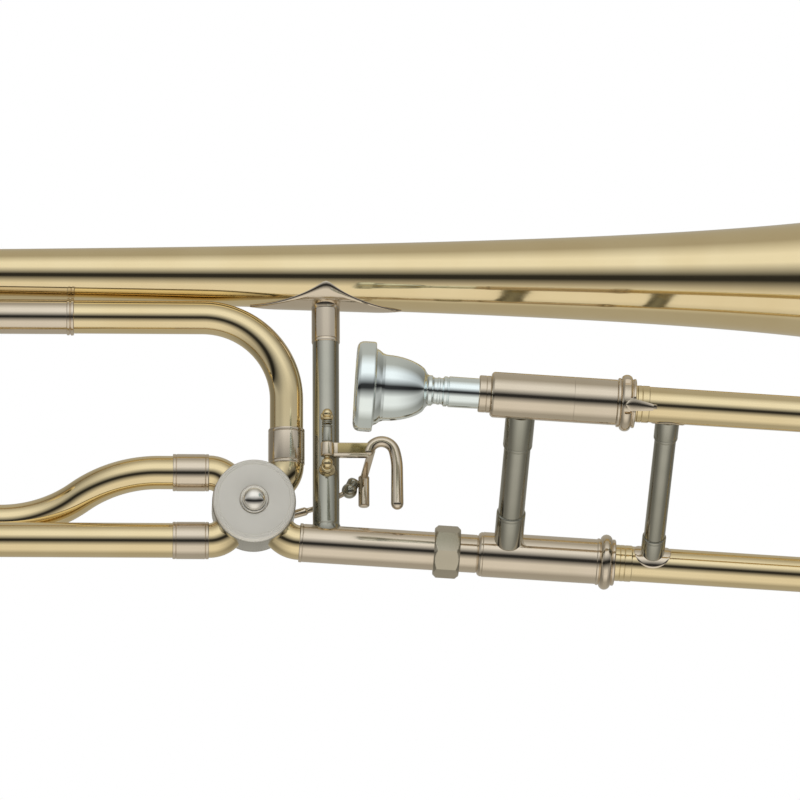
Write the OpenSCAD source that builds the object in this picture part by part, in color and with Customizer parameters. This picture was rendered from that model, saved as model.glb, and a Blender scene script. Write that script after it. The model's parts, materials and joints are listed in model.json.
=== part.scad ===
// Tenor trombone with a rotary-valve F attachment.
// Millimetres. +X runs forward along the bell axis, +Z is up, the bell axis and neckpipe lie in y = 0.
// The origin is on the neckpipe axis, straight under the bell brace, where the left hand holds it.

/* [Bell] */
// Diameter of the bell mouth
bell_mouth_d = 216; // [203:1:222]
// Forward position of the bell mouth
bell_mouth_x = 366; // [355:1:380]
// Distance from the mouth to the pole of the flare curve
bell_pole_gap = 23.2; // [21:0.1:26]
// Exponent of the flare curve
bell_power = 0.71; // [0.69:0.01:0.73]
// Wall of the bell
bell_wall = 0.6; // [0.5:0.1:0.9]
// Radius of the wire rolled into the rim
bell_rim_r = 1.6; // [1.2:0.1:2]
// Height of the bell axis above the neckpipe
bell_axis_z = 124.5; // [122:0.5:127]
// Joint between the drawn stem and the spun flare
bell_seam_x = 258; // [240:1:280]
// Rear end of the bell stem
bell_tail_x = -165; // [-168:1:-163]

/* [Neckpipe and receiver] */
// Outside diameter of the neckpipe
neck_d = 17; // [16.6:0.1:17.4]
// Downward slope of the slide against the bell axis, degrees
slide_drop = 3.5; // [3:0.1:4]
// Turn of the slide out of the bell plane, degrees
slide_swing = 54; // [50:1:56]
// Width of the receiver nut across its corners
nut_d = 23.4; // [22.8:0.1:24]

/* [Hand slide] */
// Distance between the two slide tubes
tube_gap = 90; // [88:1:92]
// Outside diameter of the inner slide tubes
inner_tube_d = 14.4; // [14.3:0.1:14.5]
// Outside diameter of the stockings at the tips of the inner tubes
stocking_d = 14.75; // [14.7:0.01:14.78]
// Bore of the outer slide tubes
outer_tube_bore = 14.9; // [14.88:0.01:14.96]
// Outside diameter of the outer slide tubes
outer_tube_d = 15.6; // [15.5:0.1:15.8]
// Outside diameter of the cork barrels that the hand slide closes into
barrel_d = 20; // [19.8:0.1:20.4]
// Distance along the slide to the centre of the end crook
crook_u = 778; // [770:1:790]
// Distance along the slide to the inner slide brace
inner_brace_u = 80.6; // [78:0.1:83]
// Distance along the slide to the outer slide brace
outer_brace_u = 144.9; // [144:0.1:149]

/* [Mouthpiece] */
// Outside diameter of the mouthpiece rim
rim_d = 39.4; // [38:0.1:40]
// Diameter of the cup inside the rim
cup_d = 26.2; // [25:0.1:27]
// Distance along the slide to the face of the rim
rim_u = 7.45; // [7:0.05:8]

/* [Rotary valve] */
// Forward position of the rotor axis
valve_x = -32.3; // [-33:0.1:-31.6]
// Half the distance between the two lines of ports
port_rise = 15.4; // [15:0.1:15.8]
// Outside diameter of the valve casing
casing_d = 37.2; // [37:0.1:38]
// Outside diameter of the rotor
rotor_d = 33.9; // [33.86:0.01:33.96]
// Bore of the valve casing
casing_bore = 34; // [34:0.01:34.04]
// Lean of the valve and its tubing out of the bell plane, degrees
valve_roll = 3.4; // [3:0.1:4]

/* [F tubing] */
// Outside diameter of the F tubing
f_tube_d = 14.9; // [14.8:0.1:15]
// Bore of the F tubing
f_bore = 13.9; // [13.7:0.1:14]
// Bend radius of the tall elbow above the valve
elbow_r = 37.5; // [37:0.1:38]
// Forward position of the tube that rises from the valve
elbow_x = -17.7; // [-18:0.1:-17.4]
// Bend radius of the F tuning slide
f_bow_r = 24.3; // [24:0.1:24.6]
// Lean of the F tuning slide, degrees
f_tilt = 20; // [19:0.5:21]

/* [Tuning slides] */
// Centre of the main tuning bow
bow_x = -241.7; // [-244:0.1:-240]
// Centre of the F tuning bow
f_bow_x = -230; // [-231:0.5:-229]

/* [Trigger] */
// Forward position of the lever hinge
hinge_x = 0.3; // [0:0.1:0.6]
// Distance of the lever hinge in front of the bell plane
hinge_y = -10.5; // [-11:0.1:-10.2]
// Diameter of the rod bent into the thumb hook
hook_rod_d = 6; // [5.6:0.1:6.2]

/* [Hidden] */
$fn = 72;

brass = [0.86, 0.73, 0.45];
nickel = [0.74, 0.71, 0.66];
silver = [0.84, 0.87, 0.88];
satin = [0.80, 0.79, 0.77];
cork_tan = [0.72, 0.55, 0.36];
rubber_black = [0.1, 0.1, 0.1];
spring_blue = [0.35, 0.38, 0.42];

// Fits shared by several sub-parts
run = 0.05;
slot_gap = 0.2;

// Bell curve: the radius grows as a power of the distance to a pole just beyond the mouth
bell_pole_x = bell_mouth_x + bell_pole_gap;
bell_gain = bell_mouth_d / 2 * pow(bell_pole_gap, bell_power);
bell_steps = 24;
seam_reach = bell_pole_x - bell_seam_x;
function bell_r(x) = bell_gain * pow(bell_pole_x - x, -bell_power);
function bell_slope(x) = bell_power * bell_r(x) / (bell_pole_x - x);
function bell_skin(x) = bell_wall * sqrt(1 + pow(bell_slope(x), 2));
function reversed(list) = [for (i = [len(list) - 1 : -1 : 0]) list[i]];
function bell_outline(xs) = concat(
    [for (x = xs) [bell_r(x), x]],
    [for (x = reversed(xs)) [bell_r(x) - bell_skin(x), x]]
);

// Bell brace
flange_half_length = 34;
flange_half_width = 14.1;
flange_skin = 0.9;
brace_tube_d = 11.9;
brace_socket_d = 12.7;
brace_socket_z = 93.1;

// Neckpipe, receiver and tenon, measured along the slide
neck_u = -12;
neck_bore = 14.3;
nut_u = [47.9, 59.4];
nut_facing = 12;
socket_u = 30;
socket_bore = 15.8;
thread_d = 19.4;
thread_end_u = 55;
tenon_flange_u = [55.2, 57.3];
lower_barrel_u = [67.3, 128.6];
upper_barrel_u = [66.8, 129.4];

// Rotary valve
port_line_z = 1.5;
port_d = 15.5;
port_bore = 13.9;
port_bend_r = 10.9;
port_start_x = -52.2;
neck_bend_r = 11.7;
casing_y = [-12, 10];
plate_y = [10, 12];
stem_r = 3;
crank_y = [12.6, 14.4];
crank_r = 7;
crank_angle = -30;
stop_r = 10.5;
stop_half_width = 2;
cork_r = 2;
ferrule_d = 16.6;
ferrule_length = 16.1;

// F tubing, from its place in the valve's own plane
elbow_top = 101.8;
elbow_start = 34.5;
leg_a = [-elbow_top * sin(valve_roll), port_line_z + elbow_top * cos(valve_roll)];
leg_b = [leg_a[0] - 2 * f_bow_r * sin(f_tilt), leg_a[1] - 2 * f_bow_r * cos(f_tilt)];
front_bend_r = 18;
front_bend_x = -176.7;
leg_c = [leg_b[0] + 2 * front_bend_r, leg_b[1]];
leg_d = [leg_c[0], 13.5];
rear_bend_r = (leg_c[1] - leg_d[1]) / 2;
rear_bend_x = -216.7;
entry_start = [-2 * port_rise * sin(valve_roll), port_line_z + 2 * port_rise * cos(valve_roll)];
entry_shift = norm(leg_d - entry_start);
entry_lean = atan2(leg_d[0] - entry_start[0], entry_start[1] - leg_d[1]);
entry_bend_r = 58;
entry_bend_x = -74.5;
entry_turn = acos(1 - entry_shift / (2 * entry_bend_r));
entry_end_x = entry_bend_x - 2 * entry_bend_r * sin(entry_turn);
bend_step = 0.04;
a_sleeve_x = [-214.7, -114];
b_sleeve_x = [-214.7, -176.7];
f_sleeve_d = 15.5;
f_leg_d = 14.4;

// Main tuning slide
main_bow_r = (bell_axis_z - port_line_z) / 2;
sleeve_end_x = -225;
upper_leg_d = 21.3;
lower_leg_d = 15.3;
leg_wall = 0.6;
bow_sides = 40;
bow_steps = 24;

// Trigger and linkage
lever_top_z = 52;
plate_z = [37.8, 39.3];
arm_end_x = 18.9;
rear_end = [17.4, 16];
rear_end_z = [21.6, 36.1];
link_end = [10.9, 16, 29.1];
link_d = 2.4;
hook_y = -8;

// Hand slide
lock_ring_u = [122, 130];
lock_groove_u = [124.8, 127.4];
lock_groove_r = 10.6;
lock_angle = 55;
lock_swing = 40;
end_ferrule_u = [119.5, 136.1];
end_ferrule_d = 16.2;
tip_u = 765;

// Water key, on the lower end ferrule of the crook
key_pivot_u = 752;
key_nipple_u = 770;
key_pivot_z = -12.5;

// ---------- shared shapes ----------

// Turned shape about the X axis; each point is [radius, x]
module lathe(points) rotate([0, 90, 0]) rotate_extrude() polygon(points);

module pipe(x, d, bore) {
    lathe([[bore / 2, x[0]], [d / 2, x[0]], [d / 2, x[1]], [bore / 2, x[1]]]);
}

module rod_x(x, d) translate([x[0], 0, 0]) rotate([0, 90, 0]) cylinder(d = d, h = x[1] - x[0]);

module post(z, d) translate([0, 0, z[0]]) cylinder(d = d, h = z[1] - z[0]);

module tube_z(z, d, bore) {
    translate([0, 0, z[0]]) rotate_extrude() translate([bore / 2, 0]) square([(d - bore) / 2, z[1] - z[0]]);
}

// Turned shape about the Y axis; each point is [radius, y]
module lathe_y(points) mirror([0, 1, 0]) rotate([90, 0, 0]) rotate_extrude() polygon(points);

module rod_y(y, d) translate([0, y[1], 0]) rotate([90, 0, 0]) cylinder(d = d, h = y[1] - y[0]);

// Bent tube in the XZ plane about the origin; angles run from +X towards +Z
module bend(r, d, bore, from, turn) {
    rotate([90, 0, 0]) rotate([0, 0, from]) rotate_extrude(angle = turn) translate([r, 0]) difference() {
        circle(d = d);
        circle(d = bore);
    }
}

module bent_rod(r, d, from, turn) {
    rotate([90, 0, 0]) rotate([0, 0, from]) rotate_extrude(angle = turn) translate([r, 0]) circle(d = d);
}

// Sleeve with chamfered ends that covers a joint between two tubes
module ferrule(x, d, bore) {
    edge = min(0.35, (d - bore) / 4);
    lathe([
        [bore / 2, x[0]], [d / 2 - edge, x[0]], [d / 2, x[0] + edge],
        [d / 2, x[1] - edge], [d / 2 - edge, x[1]], [bore / 2, x[1]]
    ]);
}

// Outer slide sleeve of a tuning slide: a rolled bead at its mouth and a ferrule over the tube it joins
module tuning_sleeve(x, d, bore, joint_bore) {
    bead = 2.5;
    lap = 8;
    lathe([
        [bore / 2, x[0]], [d / 2 + 0.6, x[0]], [d / 2 + 0.6, x[0] + bead], [d / 2, x[0] + bead],
        [d / 2, x[1] - 6], [d / 2 + 0.8, x[1] - 6], [d / 2 + 0.8, x[1] + lap], [joint_bore / 2, x[1] + lap],
        [joint_bore / 2, x[1]], [bore / 2, x[1]]
    ]);
}

// Frames: along the slide's lower tube, along its upper tube, in the valve's plane, on a tube of the wrap
module on_slide() rotate([0, slide_drop, 0]) rotate([slide_swing, 0, 0]) children();

module on_upper() on_slide() translate([0, 0, tube_gap]) children();

module on_valve() translate([0, 0, port_line_z]) rotate([valve_roll, 0, 0]) children();

module on_rotor() on_valve() translate([valve_x, 0, port_rise]) children();

module on_bell() translate([0, 0, bell_axis_z]) children();

module on_leg(leg) translate([0, leg[0], leg[1]]) children();

// Frame of the F tuning slide: its two legs at +f_bow_r and -f_bow_r along local Z
module on_f_bow() {
    translate([0, (leg_a[0] + leg_b[0]) / 2, (leg_a[1] + leg_b[1]) / 2]) rotate([-f_tilt, 0, 0]) children();
}

// ---------- bell section ----------

module bell_stem() color(brass) on_bell() {
    span = bell_seam_x - bell_tail_x;
    lathe(bell_outline([for (i = [0 : bell_steps]) bell_tail_x + span * i / bell_steps]));
}

module bell_flare() color(brass) on_bell() {
    ratio = bell_pole_gap / seam_reach;
    lathe(bell_outline([for (i = [0 : bell_steps]) bell_pole_x - seam_reach * pow(ratio, i / bell_steps)]));
    translate([bell_mouth_x - bell_rim_r, 0, 0]) rotate([0, 90, 0]) rotate_extrude()
        translate([bell_mouth_d / 2 - bell_rim_r, 0]) circle(r = bell_rim_r, $fn = 32);
}

// Solid that the bell fills near its brace, grown by a clearance
module bell_core(grow) on_bell() {
    reach = flange_half_length + 2;
    lathe([
        [0, -reach], [bell_r(-reach) + grow, -reach], [bell_r(0) + grow, 0],
        [bell_r(reach) + grow, reach], [0, reach]
    ]);
}

module bell_brace_flange() color(nickel) {
    drop = 20;
    intersection() {
        difference() {
            bell_core(flange_skin);
            bell_core(0);
        }
        translate([0, 0, bell_axis_z - drop]) linear_extrude(drop - 3) polygon([
            [flange_half_length, 0], [0, flange_half_width],
            [-flange_half_length, 0], [0, -flange_half_width]
        ]);
    }
}

module bell_brace_socket() color(nickel) difference() {
    tube_z([brace_socket_z, bell_axis_z - bell_r(0) + 3], brace_socket_d, brace_tube_d);
    bell_core(flange_skin);
}

module bell_brace_tube() color(nickel) difference() {
    tube_z([4, brace_socket_z + 12], brace_tube_d, brace_tube_d - 2);
    rotate([0, slide_drop, 0]) rod_x([-20, 20], neck_d);
}

module neckpipe() color(nickel) rotate([0, slide_drop, 0]) {
    ring = 0.2;
    lathe([
        [neck_bore / 2, neck_u], [neck_d / 2 + ring, neck_u], [neck_d / 2 + ring, neck_u + 1.4],
        [neck_d / 2, neck_u + 1.4], [neck_d / 2, nut_u[0]], [thread_d / 2, nut_u[0]],
        [thread_d / 2, thread_end_u], [socket_bore / 2, thread_end_u], [socket_bore / 2, socket_u],
        [neck_bore / 2, socket_u]
    ]);
}

module valve_casing() color(nickel) on_rotor() difference() {
    rod_y(casing_y, casing_d);
    rod_y([casing_y[0] - 1, casing_y[1] + 1], casing_bore);
    for (a = [45, 135, 225, 315]) {
        rotate([0, a, 0]) rod_x([casing_bore / 2 - 4, casing_d / 2 + 4], port_bore);
    }
}

module valve_cap() color(satin) on_rotor() {
    front = -16.4;
    cap_r = 17.9;
    lathe_y([
        [0, front - 3.2], [2.6, front - 2.9], [4.6, front - 1.9], [5.9, front - 0.3], [6.2, front + 0.3],
        [7.2, front + 0.3], [7.3, front], [cap_r - 1.2, front], [cap_r, front + 1],
        [cap_r, casing_y[0]], [stem_r + run, casing_y[0]], [stem_r + run, front + 2.2], [0, front + 2.2]
    ]);
}

// Four short elbows from the casing: two to the rear tubes, one up to the F loop, one to the neckpipe
module valve_knuckles() color(brass) difference() {
    neck_turn = 45 - slide_drop;
    union() {
        on_valve() {
            translate([port_start_x, 0, port_bend_r]) bend(port_bend_r, port_d, port_bore, -90, 45);
            translate([port_start_x, 0, 2 * port_rise - port_bend_r])
                bend(port_bend_r, port_d, port_bore, 45, 45);
            translate([elbow_x - port_bend_r, 0, elbow_start]) bend(port_bend_r, port_d, port_bore, -45, 45);
        }
        rotate([0, slide_drop, 0]) translate([neck_u, 0, neck_bend_r])
            bend(neck_bend_r, port_d, port_bore, -90 - neck_turn, neck_turn);
    }
    on_rotor() rod_y([-20, 20], casing_d);
}

module rear_bearing_plate() color(nickel) on_rotor() difference() {
    rod_y(plate_y, casing_d - 1.2);
    rod_y([plate_y[0] - 1, plate_y[1] + 1], 2 * (stem_r + run));
}

// Two cork bumpers; the stop arm swings a quarter turn between them
module stop_corks() color(cork_tan) on_rotor() {
    spread = asin((stop_half_width + cork_r + slot_gap) / stop_r);
    for (a = [crank_angle + 180 + spread, crank_angle + 90 - spread]) {
        rotate([0, -a, 0]) translate([stop_r, 0, 0]) rod_y([plate_y[1], crank_y[1] + 0.4], 2 * cork_r);
    }
}

// Ferrules where the tubes meet the valve and where the rear bend meets its tubes
module tube_ferrules() color(nickel) {
    valve_joint = [port_start_x - ferrule_length, port_start_x];
    rear_joint = [rear_bend_x, rear_bend_x + 13];
    on_leg([0, port_line_z]) ferrule(valve_joint, ferrule_d, port_d);
    on_leg(entry_start) ferrule(valve_joint, ferrule_d, f_tube_d);
    on_valve() translate([elbow_x, 0, elbow_start]) rotate([0, -90, 0])
        ferrule([0, ferrule_length], ferrule_d - 0.3, f_tube_d);
    on_leg(leg_c) ferrule(rear_joint, ferrule_d - 0.4, f_tube_d);
    on_leg(leg_d) ferrule(rear_joint, ferrule_d - 0.4, f_tube_d);
}

module main_tube() color(brass) on_leg([0, port_line_z]) {
    pipe([bell_tail_x, port_start_x], port_d, neck_bore);
}

module upper_tuning_sleeve() color(nickel) on_bell() {
    tail_d = 2 * bell_r(bell_tail_x + 8);
    tuning_sleeve([sleeve_end_x, bell_tail_x], upper_leg_d + 1.3, upper_leg_d + 2 * run, tail_d + run);
}

module lower_tuning_sleeve() color(nickel) on_leg([0, port_line_z]) {
    tuning_sleeve([sleeve_end_x, bell_tail_x], lower_leg_d + 1.3, lower_leg_d + 2 * run, port_d);
}

module f_elbow_tube() color(brass) on_valve() {
    bend_z = elbow_top - elbow_r;
    translate([elbow_x, 0, 0]) tube_z([elbow_start, bend_z], f_tube_d, f_bore);
    translate([elbow_x - elbow_r, 0, bend_z]) bend(elbow_r, f_tube_d, f_bore, 0, 90);
    translate([0, 0, elbow_top]) pipe([a_sleeve_x[1], elbow_x - elbow_r], f_tube_d, f_bore);
}

// Sleeve of one leg of the F tuning slide, with a ring at each end
module f_sleeve(x, lap) {
    ring = 2.6;
    lathe([
        [f_leg_d / 2 + run, x[0]], [f_sleeve_d / 2 + 0.5, x[0]], [f_sleeve_d / 2 + 0.5, x[0] + ring],
        [f_sleeve_d / 2, x[0] + ring], [f_sleeve_d / 2, x[1] - ring + lap],
        [f_sleeve_d / 2 + 0.6, x[1] - ring + lap], [f_sleeve_d / 2 + 0.6, x[1] + lap],
        [f_tube_d / 2, x[1] + lap], [f_tube_d / 2, x[1]], [f_leg_d / 2 + run, x[1]]
    ]);
}

module f_sleeves() color(nickel) {
    on_leg(leg_a) f_sleeve(a_sleeve_x, 1.2);
    on_leg(leg_b) f_sleeve([b_sleeve_x[0], b_sleeve_x[1] - 1.2], 1.2);
}

// From the F tuning slide round the level front bend and back towards the rear bend
module f_return_tube() color(brass) {
    translate([front_bend_x, leg_b[0] + front_bend_r, leg_b[1]]) rotate([-90, 0, 0])
        bend(front_bend_r, f_tube_d - bend_step, f_bore - bend_step, -90, 180);
    on_leg(leg_c) pipe([rear_bend_x, front_bend_x], f_tube_d, f_bore);
    on_leg(leg_b) pipe([front_bend_x - 1.2, front_bend_x], f_tube_d, f_bore);
}

module f_rear_bend() color(brass) translate([rear_bend_x, leg_c[0], leg_d[1] + rear_bend_r]) {
    bend(rear_bend_r, f_tube_d, f_bore, 90, 180);
}

// From the valve back along the swan bend that tucks behind the main tube
module f_entry_tube() color(brass) on_leg(entry_start) rotate([entry_lean, 0, 0]) {
    pipe([entry_bend_x, port_start_x], f_tube_d, f_bore);
    translate([entry_bend_x, 0, -entry_bend_r])
        bend(entry_bend_r, f_tube_d - bend_step, f_bore - bend_step, 90, entry_turn);
    translate([entry_end_x, 0, entry_bend_r - entry_shift])
        bend(entry_bend_r, f_tube_d, f_bore, 270, entry_turn);
    translate([0, 0, -entry_shift])
        pipe([rear_bend_x, entry_end_x], f_tube_d - bend_step, f_bore - bend_step);
}

// Post between two parallel tubes, cut to both of them; each leg is [y, z] and each r a tube radius
module tube_post(x, d, leg_1, r_1, leg_2, r_2) {
    span = norm(leg_2 - leg_1);
    lean = atan2(leg_2[0] - leg_1[0], leg_1[1] - leg_2[1]);
    translate([x, leg_1[0], leg_1[1]]) rotate([lean, 0, 0]) difference() {
        post([-span + r_2 / 2, -r_1 / 2], d);
        rod_x([-d, d], 2 * r_1);
        translate([0, 0, -span]) rod_x([-d, d], 2 * r_2);
    }
}

module wrap_braces() color(nickel) {
    stay_d = 5;
    stay_x = -192;
    sleeve_r = f_sleeve_d / 2;
    tube_post(stay_x, stay_d, [0, bell_axis_z], upper_leg_d / 2 + 0.65, leg_a, sleeve_r);
    tube_post(stay_x, stay_d, leg_a, sleeve_r, leg_c, f_tube_d / 2);
    tube_post(stay_x, stay_d, leg_d, f_tube_d / 2, [0, port_line_z], lower_leg_d / 2 + 0.65);
}

// Ball-ended screws and the hinge pin that carry the trigger lever in front of the brace
module lever_hinge_posts() color(brass) {
    top_z = 57.5;
    base_z = 34.6;
    translate([hinge_x, hinge_y, top_z]) sphere(d = 4.6);
    translate([hinge_x, hinge_y, base_z]) sphere(d = 5.2);
    translate([hinge_x, hinge_y, 0]) post([base_z, top_z], 2.2);
    difference() {
        translate([hinge_x, 0, 0]) {
            translate([0, 0, top_z]) rod_y([hinge_y, 0], 3.2);
            translate([0, 0, base_z - 1.5]) rod_y([hinge_y + 1, 0], 5);
            translate([0, 0, base_z - 1.5]) rod_y([-7.4, 0], 8);
        }
        post([0, 80], brace_tube_d);
    }
}

module lever_spring() color(spring_blue) translate([hinge_x, hinge_y, 0]) {
    wire = 0.7;
    for (i = [0 : 2]) {
        translate([0, 0, 52.6 + i * 0.85]) rotate_extrude() translate([2.1, 0]) circle(d = wire, $fn = 24);
    }
}

// ---------- slide receiver nut ----------

module receiver_nut() color(nickel) rotate([0, slide_drop, 0]) {
    edge = 1.2;
    clear = 0.5;
    lip_u = tenon_flange_u[1] + slot_gap;
    r = nut_d / 2;
    difference() {
        intersection() {
            lathe([
                [0, nut_u[0]], [r - edge, nut_u[0]], [r + clear, nut_u[0] + 1.3 * (edge + clear)],
                [r + clear, nut_u[1] - edge - clear], [r - edge, nut_u[1]], [0, nut_u[1]]
            ]);
            translate([nut_u[0], 0, 0]) rotate([nut_facing, 0, 0]) rotate([0, 90, 0])
                cylinder(d = nut_d, h = nut_u[1] - nut_u[0], $fn = 8);
        }
        rod_x([nut_u[0] - 1, lip_u], thread_d + 2 * run);
        rod_x([lip_u - 1, nut_u[1] + 1], neck_d + 2 * run);
    }
}

// ---------- inner slide ----------

module slide_tenon() color(nickel) on_slide() {
    bore_r = inner_tube_d / 2 - 0.4;
    tenon_r = socket_bore / 2 - run;
    lathe([
        [bore_r, socket_u + 1], [tenon_r, socket_u + 1], [tenon_r, tenon_flange_u[0]],
        [thread_d / 2 - 0.1, tenon_flange_u[0]], [thread_d / 2 - 0.1, tenon_flange_u[1]],
        [neck_d / 2, tenon_flange_u[1]], [neck_d / 2, lower_barrel_u[0]], [bore_r, lower_barrel_u[0]]
    ]);
}

module lower_barrel() color(nickel) on_slide() {
    r = barrel_d / 2;
    start = lower_barrel_u[0];
    end = lower_barrel_u[1];
    lathe([
        [inner_tube_d / 2, start], [r - 1.5, start], [r - 0.4, start + 1.8], [r, start + 3.2],
        [r, end - 7.3], [r + 1.4, end - 7], [r + 2.4, end - 5.4], [r + 2.6, end - 3.6], [r + 2.2, end - 1.6],
        [r + 1, end], [r - 1.2, end], [r - 1.2, end - 32], [inner_tube_d / 2, end - 32]
    ]);
}

module upper_barrel() color(nickel) on_upper() {
    r = barrel_d / 2;
    start = upper_barrel_u[0];
    end = upper_barrel_u[1];
    ring_seat = 0.6;
    lathe([
        [7.85, start], [r - 0.8, start], [r, start + 1], [r, lock_ring_u[0] - slot_gap],
        [r - ring_seat, lock_ring_u[0] - slot_gap], [r - ring_seat, end], [r - 1.2, end],
        [r - 1.2, 97], [7.85, 97]
    ]);
}

// Mouthpiece receiver and the tapered pipe behind it, inside the upper inner tube
module leadpipe() color(nickel) on_upper() lathe([
    [6.72, 61.5], [8.1, 61.5], [8.1, 66.6], [7.8, 66.6], [7.8, 94], [6.75, 94], [6.75, 230], [6.45, 230],
    [6.1, 110], [6.1, 91], [6.35, 90.4]
]);

// Inner slide tube with the thicker stocking at its tip
module inner_tube(start) {
    wall = 0.4;
    stocking_u = tip_u - 100;
    lathe([
        [inner_tube_d / 2 - wall, start], [inner_tube_d / 2, start], [inner_tube_d / 2, stocking_u],
        [stocking_d / 2, stocking_u + 2], [stocking_d / 2, tip_u], [inner_tube_d / 2 - wall, tip_u]
    ]);
}

module upper_inner_tube() color(silver) on_upper() inner_tube(94.2);

module lower_inner_tube() color(silver) on_slide() inner_tube(lower_barrel_u[0]);

module inner_brace_tube() color(nickel) on_slide() translate([inner_brace_u, 0, 0]) {
    reach = barrel_d / 2 + 0.1;
    tube_z([reach, tube_gap - reach], 11.7, 9.7);
}

module inner_brace_sockets() color(nickel) on_slide() difference() {
    translate([inner_brace_u, 0, 0]) {
        tube_z([barrel_d / 2 - 3, 25.2], 12.9, 11.7);
        tube_z([62.5, tube_gap - barrel_d / 2 + 3], 12.9, 11.7);
    }
    for (z = [0, tube_gap]) translate([inner_brace_u, 0, z]) rod_x([-10, 10], barrel_d);
}

module slide_corks() color(cork_tan) on_slide() for (z = [0, tube_gap]) {
    translate([0, 0, z]) pipe([97.2, 119.1], 17.2, inner_tube_d + 0.3);
}

// ---------- slide lock ring ----------

// A notch in the front rim lets the hook through; turning the ring traps the hook in the groove
module slide_lock_ring() color(nickel) on_upper() {
    bore_r = barrel_d / 2 - 0.6 + run;
    r = 12.45;
    collar_r = 10.8;
    start = lock_ring_u[0];
    end = lock_ring_u[1];
    groove_margin = 18;
    difference() {
        lathe([
            [bore_r, start], [collar_r - 0.4, start], [collar_r, start + 0.4], [collar_r, start + 1.4],
            [r - 0.5, start + 2], [r, start + 3], [r, start + 4.8], [r - 0.5, start + 5.8],
            [collar_r + 0.1, start + 6.4], [collar_r + 0.1, end - 0.4], [collar_r - 0.3, end], [bore_r, end]
        ]);
        rotate([lock_angle, 0, 0]) translate([lock_groove_u[0] + 1, -3.4, lock_groove_r]) cube([8, 6.8, 4]);
        rotate([lock_angle - lock_swing - groove_margin, 0, 0]) rotate([0, 90, 0]) rotate([0, 0, 180])
            rotate_extrude(angle = lock_swing + 2 * groove_margin)
                translate([lock_groove_r, lock_groove_u[0]])
                    square([3, lock_groove_u[1] - lock_groove_u[0]]);
    }
}

// ---------- outer slide ----------

module upper_outer_tube() color(brass) on_upper() pipe([119.5, crook_u], outer_tube_d, outer_tube_bore);

module lower_outer_tube() color(brass) on_slide() difference() {
    pipe([119.5, crook_u], outer_tube_d, outer_tube_bore);
    translate([key_nipple_u, 0, 0]) post([-12, 0], 3);
}

module outer_end_ferrules() color(brass) on_slide() for (z = [0, tube_gap]) {
    translate([0, 0, z]) ferrule(end_ferrule_u, end_ferrule_d, outer_tube_d + 0.04);
}

// The hook's tip hangs into the lock ring's groove; its foot is soldered to the upper tube
module lock_hook() color(nickel) on_upper() rotate([lock_angle, 0, 0]) {
    width = 5;
    blade = [12.7, 13.9];
    foot_u = [136.6, 140.6];
    tip_u = lock_groove_u[0] + slot_gap;
    tip_end_u = lock_groove_u[1] - slot_gap;
    translate([tip_u, -width / 2, blade[0]]) cube([foot_u[1] - tip_u, width, blade[1] - blade[0]]);
    translate([tip_u, -width / 2, lock_groove_r + slot_gap]) cube([tip_end_u - tip_u, width, 2.5]);
    difference() {
        translate([foot_u[0], -width / 2, 6]) cube([foot_u[1] - foot_u[0], width, blade[0] - 6 + 0.2]);
        rod_x([foot_u[0] - 1, foot_u[1] + 1], outer_tube_d);
    }
}

module outer_brace_tube() color(nickel) on_slide() translate([outer_brace_u, 0, 0]) {
    reach = outer_tube_d / 2 + 0.1;
    tube_z([reach, tube_gap - reach], 9.5, 7.9);
}

// Sockets of the outer brace, each with a round saddle soldered to its tube
module outer_brace_sockets() color(nickel) on_slide() translate([outer_brace_u, 0, 0]) difference() {
    saddle_d = 17;
    saddle_skin = 0.9;
    union() {
        tube_z([4, 16.8], 10.6, 9.5);
        tube_z([72, tube_gap - 4], 10.6, 9.5);
        intersection() {
            for (z = [0, tube_gap]) translate([0, 0, z]) rod_x([-10, 10], outer_tube_d + 2 * saddle_skin);
            tube_z([1, tube_gap - 1], saddle_d, 9.5);
        }
    }
    for (z = [0, tube_gap]) translate([0, 0, z]) {
        rod_x([-12, 12], outer_tube_d);
        rod_x([-12, end_ferrule_u[1] - outer_brace_u + 0.2], end_ferrule_d);
    }
}

module slide_crook() color(brass) on_slide() translate([crook_u, 0, tube_gap / 2]) {
    bend(tube_gap / 2, outer_tube_d, outer_tube_bore - 0.3, -90, 180);
}

// Ferrules at the crook and the seat of the bumper on its apex
module crook_ferrules() color(nickel) on_slide() {
    seat_end_u = crook_u + tube_gap / 2 + 10.5;
    translate([0, 0, tube_gap]) ferrule([crook_u - 21, crook_u], outer_tube_d + 1.4, outer_tube_d);
    difference() {
        union() {
            ferrule([crook_u - 21, crook_u], outer_tube_d + 1.4, outer_tube_d);
            translate([0, 0, tube_gap / 2]) rod_x([crook_u + tube_gap / 2, seat_end_u], 10);
        }
        translate([key_nipple_u, 0, 0]) post([-12, 0], 3);
        translate([crook_u, 0, tube_gap / 2]) bent_rod(tube_gap / 2, outer_tube_d, -60, 120);
    }
}

module slide_bumper() color(rubber_black) on_slide() translate([0, 0, tube_gap / 2]) {
    start = crook_u + tube_gap / 2 + 10.5;
    lathe([[0, start], [5.6, start], [6, start + 1], [6, start + 5.5], [5, start + 7.5], [0, start + 7.5]]);
}

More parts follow.
